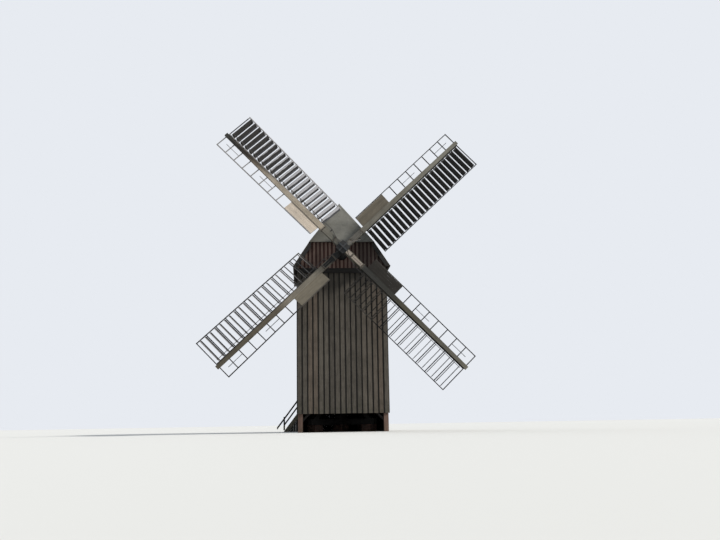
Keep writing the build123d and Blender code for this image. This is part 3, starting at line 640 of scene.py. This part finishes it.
def paint_sunlit_shutter_bands(sail_name):
    """Painted sunlight: pale bands over the lit part of each face of a sail's shutters, which widen towards
    the hub.
    """
    tree = shutter_finishes[sail_name].node_tree
    surface = tree.nodes["Principled BSDF"]
    wood = surface.inputs["Base Color"].links[0].from_socket
    place = put(tree, "TexCoord").outputs["Object"]
    out = sails[sail_name].to_3x3() @ BACK
    radius = effect(tree, distance_along, Place=place, Start=hub, Direction=out)["Distance"]
    count = calc(tree, "DIVIDE", calc(tree, "SUBTRACT", radius, inner_bar), shutter_pitch)
    count = calc(tree, "ADD", count, 0.5 - shutter_place)
    half_face = shutter_chord / 2 * math.cos(math.radians(shutter_openings[sail_name])) / shutter_pitch
    on_face = calc(tree, "DIVIDE", calc(tree, "SUBTRACT", calc(tree, "FRACT", count), 0.5), half_face)
    frayed = calc(tree, "MULTIPLY", noise(tree, place, 1.7, 3, 0.6), 0.9)
    begin = calc(tree, "ADD", spread(tree, radius, 4.6, 9.2, -0.75, 0.5), frayed)
    end = calc(tree, "ADD", begin, 0.2)
    sunlit_share = calc(tree, "MULTIPLY", spread(tree, on_face, begin, end), spread(tree, on_face, 0.98, 0.8))
    fibres = effect(tree, timber_grain, Place=grain_place(tree, place, trailing_outer), Size=26.0)["Fibre"]
    painted_sunlight = tint(tree, fibres, (0.46, 0.465, 0.50), (0.70, 0.71, 0.76))
    feed(tree, surface, {"Base Color": tint(tree, sunlit_share, wood, painted_sunlight)})


paint_sunlit_shutter_bands("upper_left")

cad_finishes = {
    felt: ("roof_left", "roof_right", "roof_front_hip", "roof_rear_hip", "ridge_cap"),
    verge_wood: ("verge_boards", "door_trim"),
    upright_timber: ("corner_posts",),
    lengthwise_timber: ("side_sills", "side_girts", "wall_plates"),
    crosswise_timber: ("end_sills", "crown_tree", "floor_joists", "weather_beam", "tail_beam"),
    trestle_timber: ("cross_tree_lower", "cross_tree_upper", "quarterbars", "main_post"),
    beam_timber: ("gable_beam",),
    prop_timber: ("corner_props",),
    floor_planks: ("floor",),
    sunlit_stair_timber: ("stair_stringers", "stair_treads", "landing"),
    rail_timber: ("handrails",),
    tarred_shaft: ("windshaft", "poll_end"),
    rod_iron: ("shutter_rods",),
    dark_iron: ("neck_bearing", "tail_bearing"),
    band_iron: ("stock_bands",),
    iron: ("spider",),
    stock_outer_wood: ("stock_outer",),
    stock_inner_wood: ("stock_inner",),
    sunlit_painted_lath: ("sail_frame_upper_left",),
    lath_outer: ("sail_frame_lower_right",),
    lath_inner: ("sail_frame_upper_right", "sail_frame_lower_left"),
}
for sail_name, finish in shutter_finishes.items():
    cad_finishes[finish] = ("shutters_" + sail_name,)
for finish, names in cad_finishes.items():
    for name in names:
        materials = frame["nodes"][name].data.materials
        materials.clear()
        materials.append(finish)

# Roof planes, from the slabs of the frame
eave_low, eave_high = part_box("roof_right")
hip_low, hip_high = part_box("roof_front_hip")
ridge_height = eave_high.z
roof_rise = (eave_high.z - eave_low.z) / (eave_high.x - eave_low.x)
hip_rise = (hip_high.z - hip_low.z) / (hip_high.y - hip_low.y)
verge_reach = eave_high.y
ridge_reach = verge_reach - (hip_high.z - hip_low.z) / hip_rise
under_ridge = ridge_height - roof_thickness * math.hypot(1, roof_rise)
under_crest = ridge_height - roof_thickness * math.hypot(1, hip_rise)


def under_roof(point):
    """Height of the roof's underside over a point."""
    slope = under_ridge - abs(point.x) * roof_rise
    hip = under_crest - (abs(point.y) - ridge_reach) * hip_rise
    return min(slope, hip)


def level_at(height):
    """A top edge that runs level."""
    return lambda point: height


# Boarding


def face_of(node, outwards):
    """The side of a node's box that looks outwards: a corner at the ground, the direction along it,
    its length and the direction outwards."""
    low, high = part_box(node)
    corner = Vector((high.x if outwards.x > 0 else low.x, high.y if outwards.y > 0 else low.y, 0))
    along = BACK if outwards.x else RIGHT
    return corner, along, high.dot(along) - low.dot(along), outwards


def boarded_face(solids, face, foot, top, pitch, share, doorway=None):
    """Upright boards side by side under wider-spaced cover boards. A doorway is where it begins and
    ends along the face, its sill and its lintel; boards that meet it are cut there."""
    corner, along, length, outwards = face
    count = round(length / pitch)
    step = length / count
    chance = solids.chance
    uneven = 0.004
    uneven_foot = 0.014
    least_strip = 0.02
    gap = 0.001
    layers = (
        (count + 1, 0.0, step * 0.97, inner_board, outer_board + inner_board / 2 + gap, 1),
        (count, 0.5, step * share, outer_board, outer_board / 2, 0),
    )
    for boards, shift, width, depth, sunk, finish in layers:
        for number in range(boards):
            middle = (number + shift) * step
            low = max(0.0, middle - width / 2 + chance.uniform(-uneven, uneven))
            high = min(length, middle + width / 2 + chance.uniform(-uneven, uneven))
            spans = [(low, high, foot + chance.uniform(0, uneven_foot), None)]
            if doorway and low < doorway[1] and high > doorway[0]:
                sill, lintel = doorway[2:]
                spans = [(low, high, foot, sill), (low, high, lintel, None)]
                beside = ((low, doorway[0]), (doorway[1], high))
                spans += [(left, right, sill, lintel) for left, right in beside if right - left > least_strip]
            for left, right, bottom, stop in spans:
                base = corner + along * ((left + right) / 2) - outwards * sunk
                solids.plank((base.x, base.y, bottom), (base.x, base.y, stop or top(base)), along,
                             right - left, depth, bow=0.0015, steps=5, top=None if stop else top,
                             finish=finish)


def nail_rows(solids, face, pitch, share, heights, top):
    """Two nails side by side through each cover board, at the rails behind it."""
    corner, along, length, outwards = face
    count = round(length / pitch)
    step = length / count
    nail_radius = 0.007
    nail_height = 0.004
    clear_of_top = 0.1
    for number in range(count):
        for height in heights:
            for side in (-1, 1):
                aside = (number + 0.5) * step + side * step * share * 0.3
                place = corner + along * aside + UP * height
                if place.z < top(place) - clear_of_top:
                    solids.stud(place, outwards, nail_radius, nail_height, tone=0.5)


def board_row(solids, face, thickness, width, foot, top, joint=0.003):
    """Upright boards side by side with narrow gaps, in one layer."""
    corner, along, length, outwards = face
    count = round(length / width)
    step = length / count
    for number in range(count):
        middle = corner + along * ((number + 0.5) * step) - outwards * (thickness / 2)
        solids.plank((middle.x, middle.y, foot), (middle.x, middle.y, top(middle)), along, step - joint,
                     thickness, bow=0.0005, steps=3, top=top)


def build_walls():
    """The four boarded walls with their nails."""
    low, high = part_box("wall_front")
    rear_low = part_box("wall_rear")[0]
    door_low, door_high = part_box("rear_door")
    doorway = (door_low.x - rear_low.x, door_high.x - rear_low.x, door_low.z, door_high.z)
    walls = (
        ("wall_front", -BACK, level_at(high.z), None),
        ("wall_rear", BACK, under_roof, doorway),
        ("wall_left", -RIGHT, under_roof, None),
        ("wall_right", RIGHT, under_roof, None),
    )
    nails = Solids(90)
    heights = [low.z + height for height in wall_rail_heights]
    for seed, (node, outwards, top, gap) in enumerate(walls, 10):
        face = face_of(node, outwards)
        boards = Solids(seed)
        boarded_face(boards, face, low.z, top, wall_pitch, cover_share, gap)
        boards.piece(node + "_boards", "mill", [outer_boards, inner_boards], (node,))
        nail_rows(nails, face, wall_pitch, cover_share, heights, top)
    nails.piece("wall_nails", "mill", [dark_iron])


def build_gable():
    """The red front gable: cover boards over boards on three rails, round the windshaft."""
    low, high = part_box("gable_front")
    face = face_of("gable_front", -BACK)
    heights = [low.z + height for height in gable_rail_heights]
    gable = Solids(20)
    boarded_face(gable, face, low.z, under_roof, gable_pitch, gable_cover_share)
    rail_width = 0.14
    rail_depth = 0.09
    rail_inset = 0.15
    rail_y = low.y + outer_board + inner_board + 0.005 + rail_depth / 2
    for height in heights:
        reach = min(high.x, (under_ridge - height) / roof_rise) - rail_inset
        gable.plank((-reach, rail_y, height), (reach, rail_y, height), UP, rail_width, rail_depth, finish=1)
    made = gable.piece("gable_front_boards", "mill", [gable_outer, gable_inner],
                       ("gable_front",))
    hole_radius = 0.36
    hole_length = 1.2
    hole_behind_hub = 1.3
    hole = Solids(0)
    hole.hoop(hub - shaft_axis * hole_behind_hub, shaft_axis, 0.0001, hole_length, hole_radius, sides=48)
    cut_away(made, hole.piece("windshaft_hole", "mill", [dark_iron]))
    nails = Solids(91)
    nail_rows(nails, face, gable_pitch, gable_cover_share, heights, under_roof)
    nails.piece("gable_nails", "mill", [dark_iron])


def slope_point(side, height, share):
    """A point on a main slope at a height; the share runs from -1 to 1 along it."""
    down = ridge_height - height
    return Vector((side * down / roof_rise, share * min(verge_reach, ridge_reach + down / hip_rise), height))


def hip_point(end, height, share):
    """A point on a half-hip at a height; the share runs from -1 to 1 across it."""
    down = ridge_height - height
    return Vector((share * down / roof_rise, end * (ridge_reach + down / hip_rise), height))


def build_roof_courses():
    """Courses of felt from the eaves up, each lapped over the one below."""
    courses = Solids(30)
    pieces_across = 16
    gap = 0.0005
    uneven = 0.004
    ridge_gap = 0.03
    least_course = 0.15
    planes = [(slope_point, side, Vector((side * roof_rise, 0, 1)), eave_low.z) for side in (-1, 1)]
    planes += [(hip_point, end, Vector((0, end * hip_rise, 1)), hip_low.z) for end in (-1, 1)]
    for surface, way, normal, eave in planes:
        normal.normalize()
        climb = felt_course * math.hypot(normal.x, normal.y)
        level = eave + uneven
        while level < ridge_height - least_course:
            above = min(level + climb + felt_lap, ridge_height - ridge_gap)
            rings = []
            for step in range(pieces_across + 1):
                share = -1 + 2 * step / pieces_across
                wave = courses.chance.uniform(-uneven, uneven)
                low_edge = surface(way, level + wave, share)
                high_edge = surface(way, above, share)
                lift = felt_thickness + courses.chance.uniform(0.0, 0.002)
                rings.append([low_edge + normal * gap, low_edge + normal * lift,
                              high_edge + normal * (felt_thickness * 0.4), high_edge + normal * gap])
            courses.sweep(rings)
            level += climb
    courses.piece("roof_courses", "mill", [felt])


def build_hip_strips():
    """A strip of felt over each hip, bent along its crest."""
    hips = Solids(31)
    wing = 0.13
    for end in (-1, 1):
        for side in (-1, 1):
            crest = hip_point(end, ridge_height, side)
            corner = Vector((side * (ridge_height - hip_low.z) / roof_rise, end * verge_reach, hip_low.z))
            along = (corner - crest).normalized()
            slope_out = Vector((side * roof_rise, 0, 1)).normalized()
            hip_out = Vector((0, end * hip_rise, 1)).normalized()
            on_slope = slope_out.cross(along).normalized() * wing
            on_slope *= 1 if on_slope.y * end < 0 else -1
            on_hip = hip_out.cross(along).normalized() * wing
            on_hip *= 1 if on_hip.x * side < 0 else -1
            rings = []
            for base in (crest + along * 0.1, corner - along * 0.01):
                lower, upper = [
                    [base + on_slope + slope_out * lift, base + (slope_out + hip_out) * (lift - 0.001),
                     base + on_hip + hip_out * lift]
                    for lift in (0.006, 0.010)]
                rings.append(lower + upper[::-1])
            hips.sweep(rings)
    hips.piece("hip_strips", "mill", [felt])


def build_piers():
    """Five brick piers: courses that turn crosswise by turns, bedded in mortar."""
    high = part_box("piers")[1]
    size = 0.7
    reach = high.x - size / math.sqrt(2)
    joint = 0.01
    joint_depth = 0.008
    course_height = 0.075
    rows = 6
    columns = 3
    short_brick = (size - (rows - 1) * joint) / rows
    long_brick = (size - (columns - 1) * joint) / columns
    core = size - 2 * joint_depth
    bricks = Solids(40)
    for x, y in [(0, 0)] + [(reach * x, reach * y) for x in (-1, 1) for y in (-1, 1)]:
        stand = Matrix.Translation((x, y, 0)) @ Matrix.Rotation(math.radians(45), 4, "Z")
        turn = stand.to_3x3()
        bricks.plank(stand @ Vector(), stand @ (UP * (high.z - 0.003)), turn @ RIGHT, core, core, finish=1)
        for course in range(round(high.z / course_height)):
            along, aside = (RIGHT, BACK) if course % 2 else (BACK, RIGHT)
            for row in range(rows):
                for column in range(columns):
                    if 0 < row < rows - 1 and 0 < column < columns - 1:
                        continue
                    u = (long_brick - size) / 2 + column * (long_brick + joint)
                    v = (short_brick - size) / 2 + row * (short_brick + joint)
                    middle = along * u + aside * v + UP * ((course + 0.5) * course_height)
                    half = along * (long_brick / 2)
                    bricks.plank(stand @ (middle - half), stand @ (middle + half), turn @ aside, short_brick,
                                 course_height - joint, bow=0.001, chamfer=0.005)
    bricks.piece("pier_bricks", "mill", [clay, mortar], ("piers",))


def build_screens():
    """Tarred boards, nearly black with painted shade, on ledges at the sides and the rear of the trestle, and
    under the stair.
    """
    top = level_at(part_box("side_screens")[1].z)
    board_width = 0.19
    board = 0.022
    ledge_width = 0.1
    ledge = 0.016
    screens = Solids(50)
    for node, outwards in (("side_screens", -RIGHT), ("side_screens", RIGHT), ("rear_screen", BACK)):
        face = face_of(node, outwards)
        board_row(screens, face, board, board_width, 0.0, top, joint=0.0006)
        corner, along, length, outwards = face
        for height in (0.25, 0.9):
            start = corner - outwards * (board + ledge / 2 + 0.001) + UP * height
            screens.plank(start, start + along * length, UP, ledge_width, ledge)
    screens.piece("screen_boards", "mill", [tarred_shaded_boards], ("side_screens", "rear_screen"))

    low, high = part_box("stair_boarding")
    size = high - low
    rise = size.z / size.x
    board_width = 0.18
    skirt = Solids(51)
    board_row(skirt, face_of("stair_boarding", BACK), size.y - 0.002, board_width, 0.0,
              lambda point: max(0.01, (point.x - low.x) * rise))
    skirt.piece("stair_skirt_boards", "mill", [tarred_shaded_boards], ("stair_boarding",))


def build_door():
    """A boarded door with strap hinges, a ring handle and a lock plate."""
    low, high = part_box("rear_door")
    size = high - low
    board_width = 0.17
    board = 0.03
    rail = 0.018
    door = Solids(60)
    board_row(door, face_of("rear_door", BACK), board, board_width, low.z + 0.01, level_at(high.z - 0.01))
    for share in (0.12, 0.5, 0.88):
        level = low.z + size.z * share
        rail_y = high.y - board - rail / 2 - 0.002
        door.plank((low.x + 0.03, rail_y, level), (high.x - 0.03, rail_y, level), UP, 0.14, rail)
    door.piece("door_boards", "mill", [door_timber], ("rear_door",))

    strap_width = 0.05
    strap = 0.006
    stud_pitch = 0.12
    face = high.y + strap / 2
    fittings = Solids(61)
    for share in (0.14, 0.86):
        level = low.z + size.z * share
        fittings.plank((low.x + 0.01, face, level), (low.x + size.x * 0.72, face, level), UP, strap_width,
                       strap)
        for number in range(5):
            fittings.stud((low.x + 0.08 + number * stud_pitch, face + 0.002, level), BACK, 0.011, 0.008)
    middle = Vector((high.x - 0.11, face, (low.z + high.z) / 2 - 0.05))
    fittings.plank(middle - UP * 0.09, middle + UP * 0.09, RIGHT, 0.07, 0.005)
    fittings.hoop(middle + Vector((0, 0.014, -0.045)), BACK, 0.038, 0.009, 0.009, sides=24)
    fittings.stud(middle + BACK * 0.004, BACK, 0.016, 0.02, sides=10)
    fittings.piece("door_fittings", "mill", [dark_iron])


# Sails: a place on one is a radius, a distance to the trailing side and a distance off its face


def weather(radius):
    """Across direction of a twisted sail at a distance from the hub, in the sail's own place."""
    share = (radius - inner_bar) / (outer_bar - inner_bar)
    across = math.cos(weather_inner) * (1 - share) + math.cos(weather_tip) * share
    back = math.sin(weather_inner) * (1 - share) + math.sin(weather_tip) * share
    return Vector((across, 0, -back))


def stock_half(radius):
    """Half the width of a tapered stock."""
    share = max(0.0, (radius - poll_width / 2) / (sail_radius - poll_width / 2))
    return (stock_root_width + (stock_tip_width - stock_root_width) * share) / 2


def on_sail(sail, radius, across=0.0, forward=0.0):
    """A point on a twisted sail, and the directions across it and off its face there."""
    slope = weather(radius)
    lift = slope.normalized().cross(BACK)
    point = sail @ (BACK * radius + slope * across + lift * forward)
    turn = sail.to_3x3()
    return point, turn @ slope.normalized(), turn @ lift


def each_shutter():
    """The shutters one by one: the sail, the distance from the hub and the angle of opening."""
    for sail_name, sail in sails.items():
        for number in range(bay_count * shutters_a_bay):
            radius = inner_bar + (number + shutter_place) * shutter_pitch
            yield sail, radius, math.radians(shutter_openings[sail_name])


def build_leading_planks():
    """Four planks side by side over the inner bays of each sail's leading side."""
    boards = 4
    parts = 8
    thickness = 0.022
    joint = 0.0006
    base = 0.0195
    low = -leading_width + 0.033
    stock_gap = 0.004
    near = inner_bar - bar_width / 2
    far = inner_bar + planked_bays * bay + bar_width / 2
    planks = Solids(70)
    for sail_name, sail in sails.items():
        finish = 0 if sail_name in outer_pair else 1
        for board in range(boards):
            # Each sail's planks get their painted light and shade, then a small random tone
            tone = 0.5 + plank_painted_light[sail_name] * 0.5 + planks.chance.uniform(-0.1, 0.1)
            rings = []
            for part in range(parts + 1):
                radius = near + (far - near) * part / parts
                step = (-stock_half(radius) - stock_gap - low) / boards
                middle = low + (board + 0.5) * step
                width = (step - joint) * weather(radius).length
                point, across, lift = on_sail(sail, radius, middle, base + thickness / 2)
                rings.append([point + across * u + lift * v for u, v in section(width, thickness, 0.002)])
            planks.sweep(rings, tone=tone, finish=finish)
    planks.piece("leading_boards", "sails", [plank_outer, plank_inner], ("leading_planks",))


def build_shutter_cranks():
    """A flat crank from each shutter's pivot to the rod."""
    width = 0.02
    thickness = 0.008
    clear = 0.014
    cranks = Solids(80)
    for sail, radius, turned in each_shutter():
        edge = radius + shutter_chord / 2 * math.cos(turned)
        reach = shutter_chord / 2 * math.sin(turned)
        start, across = on_sail(sail, radius, rod_place)[:2]
        end = on_sail(sail, edge, rod_place, reach + clear)[0]
        side = across.cross(end - start).normalized() * clear
        cranks.plank(start + side, end + side, across, width, thickness, chamfer=0.001)
    cranks.piece("shutter_cranks", "sails", [rod_iron])


def build_shutter_battens():
    """A batten along the back of each shutter."""
    width = 0.036
    thickness = 0.026
    stock_gap = 0.15
    rail_gap = 0.09
    behind = (shutter_thickness + thickness) / 2
    battens = Solids(86)
    for sail, radius, turned in each_shutter():
        sunk = radius + behind * math.sin(turned)
        start = on_sail(sail, sunk, stock_half(radius) + stock_gap, -behind * math.cos(turned))[0]
        end = on_sail(sail, sunk, trailing_width - rail_gap, -behind * math.cos(turned))[0]
        lift = on_sail(sail, radius)[2]
        chord = sail.to_3x3() @ BACK * math.cos(turned) + lift * math.sin(turned)
        battens.plank(start, end, chord, width, thickness)
    battens.piece("shutter_battens", "sails", [batten_wood])


def build_stock_fillets():
    """A strip along the trailing side of each stock, in every bay."""
    width = 0.015
    depth = 0.03
    inset = bar_width / 2 + 0.012
    aside = width / 2 + 0.004
    fillets = Solids(87)
    for finish, sail_name in ((2, "upper_left"), (0, "upper_right"), (1, "lower_right"), (0, "lower_left")):
        for number in range(bay_count):
            first = inner_bar + number * bay + inset
            last = inner_bar + (number + 1) * bay - inset
            start, across = on_sail(sails[sail_name], first, stock_half(first) + aside)[:2]
            end = on_sail(sails[sail_name], last, stock_half(last) + aside)[0]
            fillets.plank(start, end, across, width, depth, chamfer=0.002, finish=finish)
    fillets.piece("stock_fillets", "sails", [lath_inner, lath_outer, batten_wood])


def build_bar_wedges():
    """Wedges that hold the bars in their mortises, on the trailing side alone under the planks."""
    length = 0.07
    width = 0.024
    thickness = 0.012
    above_bar = 0.024
    wedges = Solids(81)
    for sail in sails.values():
        half = sail.to_3x3() @ BACK * (length / 2)
        for number in range(bay_count + 1):
            radius = inner_bar + number * bay
            for side in (1,) if number <= planked_bays else (-1, 1):
                aside = side * (stock_half(radius) + width / 2 + 0.001)
                point, across = on_sail(sail, radius, aside, above_bar)[:2]
                wedges.plank(point - half, point + half, across, width, thickness, chamfer=0.002)
    wedges.piece("bar_wedges", "sails", [lath_outer])


def bolt_bands(bolts):
    """Bolts on the fronts and the sides of the iron bands."""
    band = 0.014
    aside = 0.09
    for sail in sails.values():
        turn = sail.to_3x3()
        for place in band_places:
            for side in (-1, 1):
                spot = sail @ Vector((side * aside, place, stock_root_depth / 2 + band))
                bolts.stud(spot, turn @ UP, 0.022, 0.02)
                spot = sail @ Vector((side * (stock_root_width / 2 + band), place, 0))
                bolts.stud(spot, turn @ RIGHT * side, 0.02, 0.018)


def build_root_strips(bolts):
    """Two strips and a block on the front of three of the stocks' roots, with bolts."""
    face = stock_root_depth / 2 + 0.016
    aside = 0.068
    strip_width = 0.105
    strip_thickness = 0.03
    block_width = 0.26
    block_thickness = 0.024
    strips = Solids(85)
    for finish, sail_name in enumerate(("lower_right", "upper_right", "lower_left")):
        sail = sails[sail_name]
        turn = sail.to_3x3()
        for side in (-1, 1):
            start = sail @ Vector((side * aside, 0.85, face))
            end = sail @ Vector((side * aside, 1.64, face - 0.008))
            strips.plank(start, end, turn @ RIGHT, strip_width, strip_thickness, bow=0.001, steps=4,
                         finish=finish)
            for place in (0.93, 1.55):
                bolts.stud(sail @ Vector((side * aside, place, face + 0.013)), turn @ UP, 0.018, 0.012)
        start = sail @ Vector((0, 0.36, face - 0.004))
        end = sail @ Vector((0, 0.72, face - 0.004))
        strips.plank(start, end, turn @ RIGHT, block_width, block_thickness, bow=0.001, steps=3,
                     finish=finish)
    strips.piece("root_strips", "sails", [strip_wood, grey_strip_wood, tarred_shadowed_strip_wood])


def bolt_poll(bolts):
    """Four bolts near the corners of the poll end's face."""
    aside = 0.29
    ahead = 0.43
    turn = Matrix.Rotation(math.radians(-sail_turn), 4, shaft_axis)
    for x in (-1, 1):
        for y in (-1, 1):
            corner = turn @ ((RIGHT * x + shaft_axis.cross(RIGHT) * y) * aside)
            bolts.stud(hub + corner + shaft_axis * ahead, shaft_axis, 0.03, 0.03)


def build_shaft_hoops():
    """Three iron hoops round the windshaft behind the poll end."""
    radius = 0.292
    width = 0.06
    thickness = 0.01
    hoops = Solids(83)
    for behind in (0.56, 0.86, 1.16):
        hoops.hoop(hub - shaft_axis * behind, shaft_axis, radius, width, thickness)
    hoops.piece("shaft_hoops", "sails", [iron])


def build_sail_fittings():
    """What is fixed to the sails, the stocks and the windshaft."""
    build_shutter_cranks()
    build_shutter_battens()
    build_stock_fillets()
    build_bar_wedges()
    bolts = Solids(82)
    bolt_bands(bolts)
    build_root_strips(bolts)
    bolt_poll(bolts)
    bolts.piece("stock_bolts", "sails", [dark_iron])
    build_shaft_hoops()


def build_timber_bolts():
    """Bolts through the knee braces and the landing."""
    bolts = Solids(84)
    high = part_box("corner_props")[1]
    brace_face = 0.09
    brace_near = 0.06
    brace_far = 0.42
    for end in (-1, 1):
        for side in (-1, 1):
            for inwards, down in ((brace_near, brace_far), (brace_far, brace_near)):
                x = side * (high.x - prop_width - inwards)
                bolts.stud((x, end * (high.y - brace_face), high.z - down), BACK * end, 0.022, 0.02)
    low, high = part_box("landing")
    post = 0.09
    for x in (low.x, high.x - post):
        for down in (0.1, 0.19):
            bolts.stud((x, high.y - post / 2, high.z - down), -RIGHT, 0.018, 0.016)
    bolts.piece("timber_bolts", "mill", [dark_iron])


def add_lamp(name, azimuth, elevation, strength, softness, shade):
    """A distant soft lamp; azimuth 0 is in front of the mill, 90 on its right."""
    light = bpy.data.lights.new(name, "SUN")
    light.energy = strength
    light.angle = math.radians(softness)
    light.color = shade
    a = math.radians(azimuth)
    e = math.radians(elevation)
    towards = Vector((math.sin(a) * math.cos(e), -math.cos(a) * math.cos(e), math.sin(e)))
    holder = add_object(name, light)
    holder.rotation_mode = "QUATERNION"
    holder.rotation_quaternion = (-towards).to_track_quat("-Z", "Y")


def build_stage():
    """Pale floor, sky and two soft lamps."""
    half = 400.0
    floor_mesh = bpy.data.meshes.new("floor")
    floor_mesh.from_pydata([(-half, -half, 0), (half, -half, 0), (half, half, 0), (-half, half, 0)], [],
                           [(0, 1, 2, 3)])
    floor = add_object("floor", floor_mesh)
    material, tree = blank("pale floor")[:2]
    seen_floor = put(tree, "LightPath").outputs["Is Camera Ray"]
    pale = tint(tree, seen_floor, (0.26, 0.26, 0.25), (0.62, 0.63, 0.62))
    feed(tree, tree.nodes["Principled BSDF"], {"Base Color": pale, "Roughness": 0.95})
    floor_mesh.materials.append(material)

    world = bpy.data.worlds.new("sky")
    world.use_nodes = True
    bpy.context.scene.world = world
    tree = world.node_tree
    tree.nodes.clear()
    path = put(tree, "LightPath").outputs
    seen = calc(tree, "MAXIMUM", path["Is Camera Ray"], path["Is Glossy Ray"])
    seen = calc(tree, "MAXIMUM", seen, path["Is Transmission Ray"])
    fill = put(tree, "Background", {"Color": (0.86, 0.92, 1.0), "Strength": 0.36})
    backdrop = put(tree, "Background", {"Color": (0.80, 0.83, 0.88), "Strength": 1.0})
    sky = put(tree, "MixShader", {0: seen, 1: fill.outputs[0], 2: backdrop.outputs[0]})
    put(tree, "OutputWorld", {0: sky.outputs[0]})

    add_lamp("key", 76, 38, 4.2, 5, (1.0, 0.95, 0.88))
    add_lamp("fill", -150, 40, 0.8, 40, (0.92, 0.96, 1.0))


def build_camera():
    """The camera where the photograph was taken from."""
    place = Vector((-2.6217, -54.7567, 0.51))
    pan = 4.239
    pitch = 10.692
    roll = -0.961
    frame_width = 720
    focal = 812.29
    camera = bpy.data.cameras.new("camera")
    camera.sensor_width = 36
    camera.lens = focal / frame_width * camera.sensor_width
    camera.clip_end = 2000
    turn = Matrix.Rotation(math.radians(-pan), 4, "Z")
    turn @= Matrix.Rotation(math.radians(90 + pitch), 4, "X")
    turn @= Matrix.Rotation(math.radians(roll), 4, "Z")
    holder = add_object("camera", camera)
    holder.matrix_world = Matrix.Translation(place) @ turn
    bpy.context.scene.camera = holder


build_walls()
build_gable()
build_roof_courses()
build_hip_strips()
build_piers()
build_screens()
build_door()
build_leading_planks()
build_sail_fittings()
build_timber_bolts()
build_stage()
build_camera()
bpy.context.scene.view_settings.view_transform = "Standard"

bpy.context.view_layer.update()
